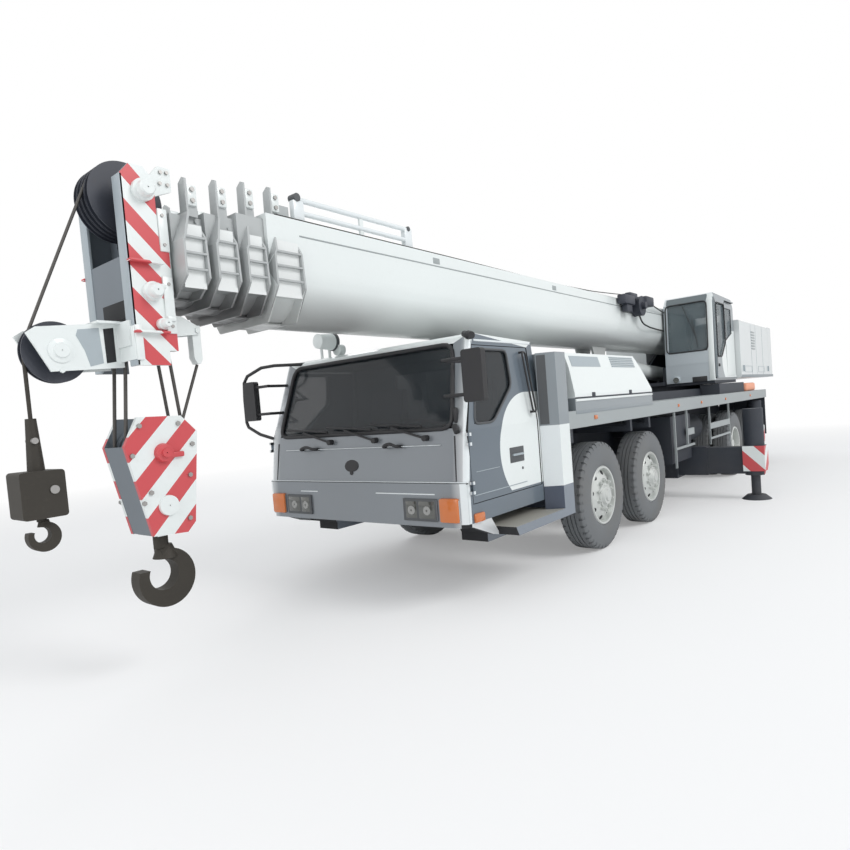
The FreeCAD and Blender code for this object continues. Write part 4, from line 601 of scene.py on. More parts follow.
def tube(name, points, radius, body, finish, smooth=True):
    """Round tube, pipe or cable along points."""
    curve = bpy.data.curves.new(name, "CURVE")
    curve.dimensions = "3D"
    curve.bevel_depth = radius
    curve.bevel_resolution = 3
    curve.use_fill_caps = True
    curve.resolution_u = 6
    spline = curve.splines.new("BEZIER" if smooth else "POLY")
    knots = spline.bezier_points if smooth else spline.points
    knots.add(len(points) - 1)
    for item, point in zip(knots, points):
        if smooth:
            item.co = point
            item.handle_left_type = "AUTO"
            item.handle_right_type = "AUTO"
        else:
            item.co = (*point, 1.0)
    place_object(name, curve, body, finish)


def paint_node(name, *finishes, choose=None):
    """Gives a CAD node its finishes. choose(face centre, normal) returns the finish's index."""
    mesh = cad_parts[name].data
    mesh.materials.clear()
    for finish in finishes:
        mesh.materials.append(FINISHES[finish][0])
    for polygon in mesh.polygons:
        polygon.material_index = choose(polygon.center, polygon.normal) if choose else 0


# Paint

CAD_FINISHES = {
    "dark": ("chassis_frame", "platform", "engine", "axles", "upper_frame"),
    "glass": ("cab_glass",),
    "black": ("mirrors",),
    "seat": ("cab_interior", "operator_seat"),
    "hood": ("engine_hood",),
    "grey": ("boom_rest",),
    "body": ("upper_body", "counterweight"),
    "rope": ("winch", "main_ropes"),
    "pane": ("operator_glass",),
    "white": ("lift_barrel",),
    "chrome": ("lift_rod",),
    "collar": ("boom_section_2", "boom_section_3", "boom_section_4"),
    "sheave": ("head_sheaves",),
    "hook": ("main_hook", "small_hook"),
}

# X of the front faces of the striped signs on the outrigger beams
SIGN_FACES = (-0.819, -1.057, -5.529, -5.767)


def is_corner(normal):
    """True on the rounded corners between a front and a side."""
    return normal.x > 0.15 and 0.12 < abs(normal.y) < 0.97


def cab_finish(centre, normal):
    """0 front, 1 side, 2 roof, 3 inside, 4 rounded corner of the carrier's cab."""
    middle = Vector(at(0.66, 0.0, 1.45))
    if (centre - middle).dot(normal) <= 0.0:
        return 3
    if normal.z > 0.75 or centre.z > 2.125:
        return 2
    if normal.x < -0.3:
        return 1
    # the rounded corners are painted pale as a highlight
    if is_corner(normal):
        return 4
    return 1 if abs(normal.y) > 0.7 else 0


def door_skin(height):
    """Y of the door's outer skin at a height."""
    belt = 1.42
    lean = 0.0994
    return DOOR_SKIN - max(0.0, height - belt) * lean


def door_finish(centre, normal):
    """0 outer skin, 1 inside, 2 pane."""
    depth = door_skin(centre.z) - abs(centre.y)
    if abs(normal.y) > 0.9 and 0.011 < depth < 0.024 and centre.z > 1.4:
        return 2
    return 0 if depth < 0.006 else 1


def operator_finish(centre, normal):
    """0 front, 1 side, 2 inside, 3 roof of the operator's cab."""
    middle = Vector(at(8.16, 0.82, 2.4))
    if (centre - middle).dot(normal) <= 0.0:
        return 2
    if centre.z > 3.0 and normal.z > 0.2:
        return 3
    return 0 if normal.x > 0.7 else 1


def bumper_finish(centre, normal):
    """0 front, 1 corner in painted highlight, 2 front and underside of the wings in painted shade.
    """
    # the wings' front and underside are painted black as shade
    if abs(centre.y) > 1.13 and centre.z < 0.69 and (normal.x > 0.7 or normal.z < -0.3):
        return 2
    # the rounded corners are painted pale as a highlight
    return 1 if is_corner(normal) else 0


def box_finish(centre, normal):
    """0 side, 1 front, 2 tread, 3 dark foot of the step boxes. Front and foot are painted shade."""
    if normal.z > 0.7 and centre.z < 0.75:
        return 2
    # the feet's front and underside are painted black as shade
    if centre.z < 0.612 and (normal.x > 0.7 or normal.z < -0.7):
        return 3
    return 1 if normal.x > 0.7 else 0


def head_finish(centre, normal):
    """0 boom, 1 striped cheek, 2 inner sides and front, painted grey as shade."""
    if centre.x < back(-1.70):
        return 0
    if normal.x > 0.7 or (abs(normal.y) > 0.9 and abs(centre.y) < 0.27):
        return 2
    return 1 if abs(normal.y) > 0.9 and abs(centre.y) > 0.28 else 0


def beam_finish(centre, normal):
    """0 beam and housing, 1 striped sign: its front and its outer side."""
    side = abs(centre.y)
    if centre.z > 0.76 or side < 1.06:
        return 0
    forward = normal.x > 0.9 and min(abs(centre.x - x) for x in SIGN_FACES) < 0.004
    outer = side > (1.33 if centre.x < -4.0 else 2.19) and normal.y * centre.y > 0.9 * side
    return 1 if forward or outer else 0


def base_collar(centre, normal):
    outside = abs(centre.y) > 0.388 or centre.z > 3.064 or centre.z < 2.318
    return centre.x > back(-0.70) and outside


def nose_sheave(centre, normal):
    reach = math.hypot(centre.x - back(-NOSE_PIN[0]), centre.z - NOSE_PIN[1])
    return abs(centre.y) < 0.03 and reach < 0.185


class CRANE_OT_paint(bpy.types.Operator):
    """Paints the nodes of the CAD model."""
    bl_idname = "crane.paint"
    bl_label = "Paint the CAD model"

    def execute(self, context):
        for finish, names in CAD_FINISHES.items():
            for name in names:
                paint_node(name, finish)
        for name, first, second, choose in (
                ("lamps", "silver", "white", lambda c, n: c.z > 1.9),
                ("boom_top_rail", "boom", "sheave", lambda c, n: abs(c.y) > 0.389),
                ("side_equipment", "dark", "grey",
                 lambda c, n: abs(c.y) > 1.32 and c.x > back(10.8)),
                ("deck", "dark", "grey", lambda c, n: c.z > 1.30),
                ("operator_door", "operator_side", "pane",
                 lambda c, n: abs(n.y) > 0.9 and 2.15 < c.z < 3.05),
                # the middle of the hook block takes the grey of painted shade
                ("hook_block", "block", "inside", lambda c, n: abs(c.y) < 0.125),
                ("nose", "white", "sheave", nose_sheave),
                ("boom_base", "boom", "collar", base_collar)):
            paint_node(name, first, second, choose=choose)
        paint_node("cab_shell", "silver", "door", "white", "deep", "pale", choose=cab_finish)
        paint_node("front_bumper", "silver", "pale", "deep", choose=bumper_finish)
        paint_node("step_boxes", "box_side", "box_front", "tread", "deep", choose=box_finish)
        paint_node("operator_cab", "operator_front", "operator_side", "deep", "pale",
                   choose=operator_finish)
        paint_node("boom_section_5", "boom", "head", "inside", choose=head_finish)
        for side in SIDES:
            paint_node(f"cab_door_{side}", "door", "deep", "glass", choose=door_finish)
            for number in STEERED_AXLES:
                paint_node(f"knuckle_{number}_{side}", "dark")
            for end in ("front", "rear"):
                paint_node(f"outrigger_{end}_{side}", "dark", f"beam_{side}",
                           choose=beam_finish)
                paint_node(f"jack_{end}_{side}", "dark")
        return {"FINISHED"}


# Wheels. Distances are taken outwards from the wheel's face

TYRE_MIDDLE = -0.145
TREAD_SHOULDER = (0.082, 0.129)
NUT_RING = 0.158
HOLE_LEAN = 0.5

BARREL = (
    (-0.030, 0.277), (-0.012, 0.282), (-0.010, 0.300), (-0.022, 0.308), (-0.040, 0.296),
    (-0.250, 0.296), (-0.268, 0.308), (-0.280, 0.300), (-0.276, 0.282), (-0.260, 0.277))

# Faces of the tyres, profile of the disc, rods of the hub (start, end, radius, end radius),
# seat of the nuts, and distance and ring radius of the hand holes
STEERED = {
    "tyres": (0.0,),
    "disc": ((-0.110, 0.060), (-0.110, 0.150), (-0.085, 0.277), (-0.072, 0.277), (-0.050, 0.240),
             (-0.018, 0.185), (-0.016, 0.130), (0.000, 0.125), (0.002, 0.060)),
    "hub": ((-0.002, 0.030, 0.105, 0.090), (0.028, 0.046, 0.062, 0.055)),
    "seat": -0.018,
    "holes": (-0.0465, 0.2335),
}
TWIN = {
    "tyres": (0.0, -0.33),
    "disc": ((-0.255, 0.060), (-0.255, 0.180), (-0.135, 0.277), (-0.120, 0.277), (-0.145, 0.240),
             (-0.235, 0.190), (-0.235, 0.125), (-0.085, 0.110), (-0.065, 0.060)),
    "hub": ((-0.095, -0.055, 0.085, 0.070),),
    "seat": -0.235,
    "holes": (-0.183, 0.226),
}


def tyre_profile():
    """Half of the tyre's section as (distance from the middle, radius), from tread to bead."""
    depth = sizes().tread_depth
    drops = ((0.005, depth), (0.007, 0.0), (0.036, 0.0), (0.038, depth), (0.048, depth),
             (0.050, 0.0), (0.082, 0.001), (0.112, 0.004), (0.124, 0.018), (0.131, 0.046),
             (0.140, 0.095), (0.1445, 0.150), (0.143, 0.195), (0.136, 0.232), (0.122, 0.258),
             (0.112, 0.266))
    return [(distance, AXLE_HEIGHT - drop) for distance, drop in drops]


def add_tyre(bm, x, middle):
    """Tyre with circumferential grooves and shoulder blocks."""
    half = tyre_profile()
    profile = [(-a, r) for a, r in reversed(half)] + half
    steps = sizes().tread_blocks * 3
    before = set(bm.faces)
    add_turned(bm, (x, middle, AXLE_HEIGHT), profile, steps)
    fresh = [face for face in bm.faces if face not in before]
    centre = Vector((x, 0.0, AXLE_HEIGHT))
    cuts = []
    for face in fresh:
        spot = face.calc_center_median()
        flat = Vector((spot.x, 0.0, spot.z)) - centre
        low, high = TREAD_SHOULDER
        if not low <= abs(spot.y - middle) <= high or flat.length < 0.5:
            continue
        turn = math.atan2(flat.z, flat.x) % math.tau
        if int(turn / math.tau * steps) % 3 == 0:
            cuts.append(face)
    bmesh.ops.recalc_face_normals(bm, faces=fresh)
    moved = extrude(bm, cuts)
    bmesh.ops.delete(bm, geom=cuts, context="FACES_ONLY")
    for vert in moved:
        flat = Vector((vert.co.x, 0.0, vert.co.z)) - centre
        vert.co -= flat.normalized() * sizes().tread_depth


class CRANE_OT_wheels(bpy.types.Operator):
    """Models every wheel: tyres with tread, rims, hubs and nuts."""
    bl_idname = "crane.wheels"
    bl_label = "Wheels"

    def execute(self, context):
        for side, sign in SIDES.items():
            for axles, kind in ((STEERED_AXLES, STEERED), (TWIN_AXLES, TWIN)):
                for number, distance in axles.items():
                    self.wheel(f"{number}_{side}", sign, back(distance), kind)
        return {"FINISHED"}

    @staticmethod
    def wheel(key, sign, x, kind):
        body = f"road_wheel_{key}"
        faces = [WHEEL_FACE + face for face in kind["tyres"]]
        with piece(f"tyre_{key}", body, "tyre") as bm:
            for face in faces:
                add_tyre(bm, x, sign * (face + TYRE_MIDDLE))
        with piece(f"rim_{key}", body, "rim") as bm:
            for face in faces:
                add_cap(bm, sign, x, AXLE_HEIGHT, face, BARREL, WHEEL_STEPS)
            add_cap(bm, sign, x, AXLE_HEIGHT, WHEEL_FACE, kind["disc"], WHEEL_STEPS)
            for start, end, radius, end_radius in kind["hub"]:
                add_pin(bm, x, AXLE_HEIGHT, sign * (WHEEL_FACE + start),
                        sign * (WHEEL_FACE + end), radius, 24, end_radius)
            seat = WHEEL_FACE + kind["seat"]
            for a, b in around(sizes().wheel_nuts, NUT_RING, 0.5):
                for height, radius, sides in ((0.028, 0.021, 6), (0.045, 0.011, 8)):
                    add_pin(bm, x + a, AXLE_HEIGHT + b, sign * seat, sign * (seat + height),
                            radius, sides)
        # each hand hole is a shallow disc on the wheel's cone, painted dark as the shade seen
        # through it
        with piece(f"hand_holes_{key}", body, "deep") as bm:
            distance, ring = kind["holes"]
            for a, b in around(sizes().hand_holes, ring, 0.25):
                out = Vector((a, 0.0, b)).normalized()
                axis = (Vector((0.0, sign, 0.0)) + out * HOLE_LEAN).normalized()
                spot = Vector((x + a, sign * (WHEEL_FACE + distance), AXLE_HEIGHT + b))
                add_rod(bm, spot - axis * 0.004, spot + axis * 0.004, 0.026)
        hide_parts(f"wheel_{key}")


# Cab trim

# Distance and height of the windscreen's foot and of its head
SCREEN_RUN = (0.080, 1.42, 0.300, 2.16)
# Y and Z of the lamp on the roof
ROOF_LAMP = (-0.55, 2.335)


def screen_x(height, proud=0.0):
    """X of the windscreen's plane at a height, moved outwards by proud."""
    foot, low, head, high = SCREEN_RUN
    return back(foot + (height - low) * (head - foot) / (high - low)) + proud


class CRANE_OT_cab_trim(bpy.types.Operator):
    """Windscreen gasket, wipers, handles, seams, roof parts and air cans of the carrier's cab."""
    bl_idname = "crane.cab_trim"
    bl_label = "Cab trim"

    def execute(self, context):
        proud = 0.004
        corners = [(screen_x(z, proud), y, z) for y, z in (
            (-1.062, 1.44), (1.062, 1.44), (0.985, 2.115), (-0.985, 2.115))]
        tube("windscreen_gasket", rounded_loop(corners, 0.11), 0.018, "carrier", "black", False)
        self.wipers()
        self.front_details()
        self.roof_edges()
        self.cans()
        return {"FINISHED"}

    @staticmethod
    def wipers():
        reach = sizes().wiper_length
        with piece("wipers", "carrier", "black") as bm:
            for pivot in (-0.31, 0.25, 0.81):
                root = Vector((screen_x(1.375, 0.03), pivot, 1.375))
                tip = Vector((screen_x(1.475, 0.05), pivot - reach, 1.475))
                add_rod(bm, root - Vector((0.05, 0, 0)), root + Vector((0.012, 0, 0)), 0.024, 12)
                add_rod(bm, root, tip, 0.010, 8)
                middle = tip + Vector((0.0, 0.02, 0.0))
                add_rod(bm, middle + Vector((-0.012, 0.30, -0.005)),
                        middle + Vector((-0.022, -0.28, 0.035)), 0.009, 8)

    @staticmethod
    def front_details():
        for name, ends in (("left", (0.365, 0.546)), ("right", (-0.700, -0.484))):
            z = 1.33
            x = screen_x(z)
            tube(f"front_handle_{name}", [
                (x - 0.02, ends[0] + 0.01, z - 0.015), (x + 0.045, ends[0] + 0.02, z - 0.01),
                (x + 0.055, sum(ends) / 2.0, z + 0.012), (x + 0.045, ends[1] - 0.02, z - 0.01),
                (x - 0.02, ends[1] - 0.01, z - 0.015)], 0.014, "carrier", "black")
        nose = back(0.025)
        with piece("front_seams", "carrier", "black") as bm:
            middle = Vector(at(0.0447, -0.05, 1.16))
            out = Vector((0.991, 0.0, 0.134))
            verts = add_rod(bm, middle - out * 0.01, middle + out * 0.005, 0.085, 32)
            bmesh.ops.scale(bm, vec=(1.0, 1.0, 0.62), verts=verts,
                            space=Matrix.Translation(-middle))
            low = middle + Vector((0.008, 0.0, -0.062))
            add_rod(bm, low - out * 0.01, low + out * 0.006, 0.020, 12)
            # the seam over the bumper and the front panel's edges
            add_box(bm, (nose - 0.10, -1.195, 1.009), (nose + 0.002, 1.195, 1.017))
            for side in (-1.10, 1.10):
                foot = Vector(at(0.0285, side, 1.03))
                add_rod(bm, foot, Vector((screen_x(1.38, -0.004), side * 0.985, 1.38)), 0.006, 6)
        # pale strips along the creases of the front and over the bumper seam, painted as their
        # highlights
        with piece("front_crease_highlights", "carrier", "pale") as bm:
            add_box(bm, (nose - 0.10, -1.19, 1.018), (nose + 0.0065, 1.19, 1.026), 0.003)
            for low, high in ((-0.72, -0.48), (0.26, 0.90)):
                add_box(bm, at(0.010, low, 0.925), at(-0.006, high, 0.935), 0.004)
            add_box(bm, at(0.075, -0.95, 1.312), (screen_x(1.318, 0.004), 0.95, 1.317), 0.002)
        with piece("mirror_brackets", "carrier", "black") as bm:
            add_box(bm, (screen_x(1.55), 1.075, 1.48), (screen_x(1.55, 0.035), 1.105, 1.60), 0.01)
            add_rod(bm, (screen_x(1.50, 0.03), 1.09, 1.46), (screen_x(1.47, 0.05), 1.13, 1.41),
                    0.024)
            add_rod(bm, at(0.32, 1.08, 2.18), at(0.27, 1.15, 2.16), 0.028)
            add_rod(bm, at(0.27, 1.15, 2.16), at(0.24, 1.20, 2.15), 0.036, 16, 0.030)

    @staticmethod
    def roof_edges():
        with piece("roof_gutters", "carrier", "pale") as bm:
            add_pair(bm, at(1.27, 1.105, 2.118), at(0.36, 1.135, 2.136), 0.006)
        with piece("roof_hatch", "carrier", "pale") as bm:
            add_box(bm, at(0.95, -0.36, 2.165), at(0.62, 0.36, 2.20), 0.015)
        y, z = ROOF_LAMP
        with piece("roof_lamp_shade", "carrier", "white") as bm:
            for rear, ahead, radius, tip in ((0.39, 0.22, 0.082, 0.070),
                                             (0.22, 0.205, 0.070, 0.040)):
                add_rod(bm, at(rear, y, z), at(ahead, y, z), radius, 24, tip)
            for foot in (0.26, 0.36):
                add_rod(bm, at(foot, y, 2.17), at(foot, y, 2.30), 0.014, 10)
        with piece("roof_lamp_rim", "carrier", "slate") as bm:
            add_rod(bm, at(0.425, y, z), at(0.388, y, z), 0.088, 24)

    @staticmethod
    def cans():
        """Air cleaner cans in the gap behind the cab."""
        with piece("air_cans", "carrier", "dark") as bm:
            for sign in SIDES.values():
                for low, high, radius in ((1.50, 1.74, 0.045), (1.78, 1.93, 0.040),
                                          (1.40, 1.50, 0.025)):
                    add_rod(bm, at(1.345, sign * 1.12, low), at(1.345, sign * 1.12, high), radius)


DOOR_BODIES = {"left": "driver_door", "right": "mate_door"}


class CRANE_OT_doors(bpy.types.Operator):
    """Grab bars, latches, window gaskets, seams and mirrors of the carrier's doors."""
    bl_idname = "crane.doors"
    bl_label = "Door trim and mirrors"

    def execute(self, context):
        for side, sign in SIDES.items():
            body = DOOR_BODIES[side]
            self.bar(side, sign, body)
            self.gasket(side, sign, body)
            self.latch(side, sign, body)
        self.mirror_glass()
        self.column_shade()
        self.right_bracket()
        return {"FINISHED"}

    @staticmethod
    def bar(side, sign, body):
        points = [at(b, sign * (door_skin(z) + 0.045), z) for b, z in (
            (1.025, 2.040), (1.080, 2.040), (1.118, 1.510), (1.062, 1.510))]
        tube(f"door_bar_{side}", rounded_loop(points, 0.030), 0.009, body, "black", False)
        with piece(f"door_bar_feet_{side}", body, "black") as bm:
            for b, z in ((1.052, 2.040), (1.090, 1.510)):
                skin = door_skin(z)
                add_pin(bm, back(b), z, sign * (skin - 0.01), sign * (skin + 0.046), 0.010, 10)

    @staticmethod
    def gasket(side, sign, body):
        corners = [at(b, sign * (door_skin(z) + 0.001), z) for b, z in (
            (0.190, 1.46), (0.465, 1.46), (0.830, 1.75), (0.830, 2.055), (0.360, 2.055))]
        tube(f"door_gasket_{side}", rounded_loop(corners, 0.06), 0.010, body, "slate", False)

    @staticmethod
    def latch(side, sign, body):
        skin = DOOR_SKIN
        with piece(f"door_latch_{side}", body, "slate") as bm:
            add_side_box(bm, sign, at(0.905, skin - 0.01, 1.095), at(0.675, skin + 0.004, 1.225),
                         0.0035)
            add_pin(bm, back(0.87), 1.035, sign * skin, sign * (skin + 0.004), 0.012, 10)
        with piece(f"door_handle_{side}", body, "mid_grey") as bm:
            add_side_box(bm, sign, at(0.880, skin - 0.01, 1.150), at(0.710, skin + 0.020, 1.170),
                         0.008)
        # mid grey strips along the door's creases, painted as the highlight and shade on them
        with piece(f"door_crease_lights_{side}", body, "mid_grey") as bm:
            for rear, ahead, low, high in ((0.93, 0.12, 0.905, 0.912), (0.50, 0.16, 1.085, 1.091)):
                add_side_box(bm, sign, at(rear, skin - 0.01, low), at(ahead, skin + 0.0035, high),
                             0.002)

    @staticmethod
    def column_shade():
        """Painted shade: dark plates in the inner front recess of the columns behind the cab's
        doors.
        """
        with piece("column_shade", "carrier", "slate") as bm:
            near, far = Vector((back(1.219), 1.2125)), Vector((back(1.258), 1.284))
            out = Vector((0.0026, 0.0014))
            for sign in SIDES.values():
                add_plate(bm, "XY", [(point.x, sign * point.y) for point in (
                    near - out, near + out, far + out, far - out)], 1.385, 2.010)

    @staticmethod
    def mirror_glass():
        with piece("mirror_glass", "carrier", "mirror") as bm:
            add_pair(bm, at(0.034, 1.285, 1.66), at(0.029, 1.435, 1.99), 0.001)

    @staticmethod
    def right_bracket():
        tube("mirror_loop", [
            at(0.33, -0.88, 2.155), at(0.10, -1.08, 2.160), at(0.03, -1.20, 2.150),
            at(0.0, -1.40, 2.085), at(0.0, -1.465, 2.020), at(0.0, -1.480, 1.85),
            at(0.0, -1.480, 1.620), at(0.0, -1.455, 1.570), at(0.02, -1.30, 1.490),
            at(0.08, -1.18, 1.440)], 0.016, "carrier", "black", False)


class CRANE_OT_lamps(bpy.types.Operator):
    """Lenses of the headlamps, turn signals, side markers and tail lamps."""
    bl_idname = "crane.lamps"
    bl_label = "Lamps"

    def execute(self, context):
        face = back(-0.014)
        with piece("headlamp_frames", "carrier", "slate") as bm:
            add_pair(bm, (face - 0.010, 0.572, 0.714), (face + 0.0015, 0.916, 0.894), 0.001)
        with piece("headlamp_lenses", "carrier", "lens") as bm:
            add_pair(bm, (face - 0.004, 0.598, 0.735), (face + 0.003, 0.715, 0.875), 0.003)
            add_pair(bm, (face - 0.004, 0.735, 0.735), (face + 0.003, 0.900, 0.875), 0.003)
        with piece("headlamp_rings", "carrier", "reflector") as bm:
            for y in (0.656, 0.817):
                for sign in SIDES.values():
                    add_turned(bm, (face, sign * y, 0.80), (
                        (0.002, 0.008), (0.006, 0.010), (0.007, 0.034), (0.002, 0.038)), 20, "X")
        with piece("turn_signals", "carrier", "amber") as bm:
            add_pair(bm, (face - 0.030, 0.952, 0.712), (face + 0.020, 1.134, 0.904), 0.018)
        with piece("side_markers", "carrier", "amber") as bm:
            add_pair(bm, at(0.215, 1.190, 0.700), at(0.085, 1.222, 0.772), 0.012)
            for spot in (2.099, 4.818, 5.936, 7.391, 9.30):
                add_pair(bm, at(spot + 0.035, 1.355, 1.375), at(spot - 0.035, 1.371, 1.415),
                         0.005)
        tail = back(10.86)
        with piece("tail_lamps", "carrier", "red_lens") as bm:
            add_pair(bm, (tail - 0.014, 0.98, 1.335), (tail + 0.002, 1.22, 1.425), 0.004)
        with piece("tail_signals", "carrier", "amber") as bm:
            add_pair(bm, (tail - 0.014, 0.84, 1.335), (tail + 0.002, 0.965, 1.425), 0.004)
        return {"FINISHED"}


HOOD_FRONT = 1.662
HOOD_REAR = 3.79
# Inner and outer distance of the hood's catches. The right ones lie flush with the seam
CATCH_DEPTHS = {"left": (HOOD_SIDE, 1.3675), "right": (1.354, 1.3635)}


def hood_lean(height):
    """Distance of the hood's slanted shoulder from the middle plane at a height."""
    return 1.315 - (height - 1.89) * 0.3


class CRANE_OT_hood(bpy.types.Operator):
    """Louvres, blank plates, seams and catches of the engine hood."""
    bl_idname = "crane.hood"
    bl_label = "Engine hood trim"

    def execute(self, context):
        for side, sign in SIDES.items():
            with piece(f"hood_louvres_{side}", "carrier", "mid_grey") as bm:
                for z in evenly(6, 1.905, 0.020):
                    y = hood_lean(z)
                    add_side_box(bm, sign, at(3.40, y - 0.02, z), at(2.72, y + 0.007, z + 0.012),
                                 0.003)
            with piece(f"hood_plate_{side}", "carrier", "mid_grey") as bm:
                low, high = 1.905, 2.010
                points = [(sign * (hood_lean(z) + out), z) for z, out in (
                    (low, 0.003), (high, 0.003), (high, -0.01), (low, -0.01))]
                add_plate(bm, "YZ", points, back(2.42), back(1.74))
            with piece(f"hood_seam_{side}", "carrier", "dark") as bm:
                add_side_box(bm, sign, at(HOOD_REAR, HOOD_SIDE, 1.592),
                             at(HOOD_FRONT, 1.3635, 1.606))
                for b in (2.05, 3.05):
                    near, far = CATCH_DEPTHS[side]
                    add_side_box(bm, sign, at(b + 0.07, near, 1.60), at(b, far, 1.645), 0.004)
            # a white lip along the hood's lower edge, which also stands as a painted highlight
            with piece(f"hood_lip_highlight_{side}", "carrier", "white") as bm:
                add_side_box(bm, sign, at(HOOD_REAR, HOOD_SIDE - 0.01, 1.565),
                             at(HOOD_FRONT, HOOD_SIDE + 0.022, 1.590), 0.008)
            with piece(f"hood_foot_{side}", "carrier", "side") as bm:
                add_side_box(bm, sign, at(3.80, HOOD_SIDE + 0.005, 1.445),
                             at(HOOD_FRONT, 1.3635, 1.4785), 0.002)
        with piece("hood_top_louvres", "carrier", "mid_grey") as bm:
            for b in evenly(9, 2.15, 0.09):
                add_box(bm, at(b + 0.05, -0.45, 2.038), at(b, 0.45, 2.048), 0.003)
        return {"FINISHED"}


# Operator's cab and upper works

class CRANE_OT_operator(bpy.types.Operator):
    """Gaskets, lamp, vent, pillar and seams of the operator's cab and the rear body."""
    bl_idname = "crane.operator_cab"
    bl_label = "Operator's cab and rear body"

    def execute(self, context):
        front = back(7.369)

        def lean(z):
            return front - max(0.0, z - 2.05) * 0.0583

        corners = [(lean(z) + 0.004, y, z) for y, z in (
            (0.455, 2.245), (1.135, 2.245), (1.135, 3.075), (0.455, 3.075))]
        tube("operator_gasket", rounded_loop(corners, 0.08), 0.012, "upper_works", "black", False)
        with piece("operator_brow", "upper_works", "brow") as bm:
            add_plate(bm, "XZ", ((lean(3.07) + 0.004, 3.07), (back(7.485), 3.190),
                                 (back(7.51), 3.180), (lean(3.07) - 0.02, 3.065)), 0.47, 1.132)
        with piece("operator_lower_panel", "upper_works", "operator_front") as bm:
            add_plate(bm, "XZ", ((front + 0.004, 2.03), (lean(2.235) + 0.004, 2.235),
                                 (lean(2.235) - 0.012, 2.235), (front - 0.012, 2.03)),
                      0.445, 1.138)
        with piece("operator_pillar", "upper_works", "white") as bm:
            add_plate(bm, "XZ", ((front + 0.008, 1.722), (front + 0.008, 2.05),
                                 (lean(3.08) + 0.008, 3.08), (back(7.49), 3.19), (back(7.53), 3.16),
                                 (back(7.455), 3.05), (back(7.405), 2.05), (back(7.405), 1.722)),
                      1.135, 1.225)
            round_edges(bm, list(bm.edges), 0.012)
        with piece("operator_vent", "upper_works", "black") as bm:
            add_box(bm, (front - 0.01, 0.86, 1.715), (front + 0.006, 1.10, 1.805), 0.004)
            add_box(bm, at(7.62, 1.245, 1.95), at(7.54, 1.262, 2.00), 0.006)
        with piece("operator_lamp_case", "upper_works", "operator_front") as bm:
            add_rod(bm, (front - 0.02, 0.60, 1.78), (front + 0.045, 0.60, 1.775), 0.065, 24, 0.055)
        with piece("operator_lamp_lens", "upper_works", "lens") as bm:
            add_rod(bm, (front + 0.044, 0.60, 1.775), (front + 0.050, 0.60, 1.775), 0.048, 24)
        with piece("operator_wiper", "upper_works", "black") as bm:
            add_rod(bm, (lean(3.03) + 0.02, 0.75, 3.03), (lean(2.50) + 0.035, 0.95, 2.50), 0.008, 8)
            add_rod(bm, (lean(2.75) + 0.03, 0.90, 2.78), (lean(2.30) + 0.03, 0.98, 2.30), 0.007, 8)
        self.side_gaskets()
        self.rear_body()
        return {"FINISHED"}

    @staticmethod
    def side_gaskets():
        tube("operator_door_gasket", rounded_loop([at(b, 1.252, z) for b, z in (
            (7.52, 2.12), (7.79, 2.12), (8.09, 2.38), (8.09, 3.04), (7.55, 3.04))], 0.05),
            0.010, "operator_entry", "black", False)
        tube("operator_side_gasket", rounded_loop([at(b, 1.201, z) for b, z in (
            (8.21, 2.38), (8.775, 2.57), (8.775, 3.01), (8.21, 3.01))], 0.05),
            0.008, "upper_works", "black", False)
        with piece("operator_door_rails", "upper_works", "black") as bm:
            for z in (1.765, 3.132):
                add_rod(bm, at(8.80, 1.218, z), at(7.46, 1.218, z), 0.008, 6)

    @staticmethod
    def rear_body():
        with piece("body_seams", "upper_works", "mid_grey") as bm:
            for b in (9.95, 10.40, 11.05):
                add_pair(bm, at(b + 0.007, BODY_SIDE, 1.80), at(b, 1.3025, 2.80))
            for b in (9.30, 10.55):
                for z in (1.845, 1.960):
                    add_pair(bm, at(b + 0.62, BODY_SIDE, z), at(b, 1.304, z + 0.008))
                for end in (b, b + 0.612):
                    add_pair(bm, at(end + 0.008, BODY_SIDE, 1.845), at(end, 1.304, 1.968))
            for b in (9.15, 11.55):
                add_pair(bm, at(b + 0.02, BODY_SIDE, 1.86), at(b, 1.325, 1.98), 0.006)
        with piece("body_skirts", "upper_works", "side") as bm:
            add_pair(bm, at(12.12, 1.285, 1.745), at(8.985, 1.306, 1.800), 0.006)
        with piece("body_louvres", "upper_works", "grey") as bm:
            for z in evenly(7, 2.30, 0.055):
                add_pair(bm, at(10.30, 1.29, z), at(9.98, 1.3065, z + 0.03), 0.004)
        with piece("orange_box", "carrier", "orange") as bm:
            add_box(bm, at(10.40, 0.98, 1.480), at(9.60, 1.25, 1.640), 0.04, 3)


# Boom

# Body, distance of the mouth ahead of the bumper, top and half width of each collar
COLLARS = (
    ("boom", 0.990, 3.280, 0.450), ("telescope_2", 1.210, 3.265, 0.440),
    ("telescope_3", 1.430, 3.225, 0.425), ("telescope_4", 1.650, 3.190, 0.410))


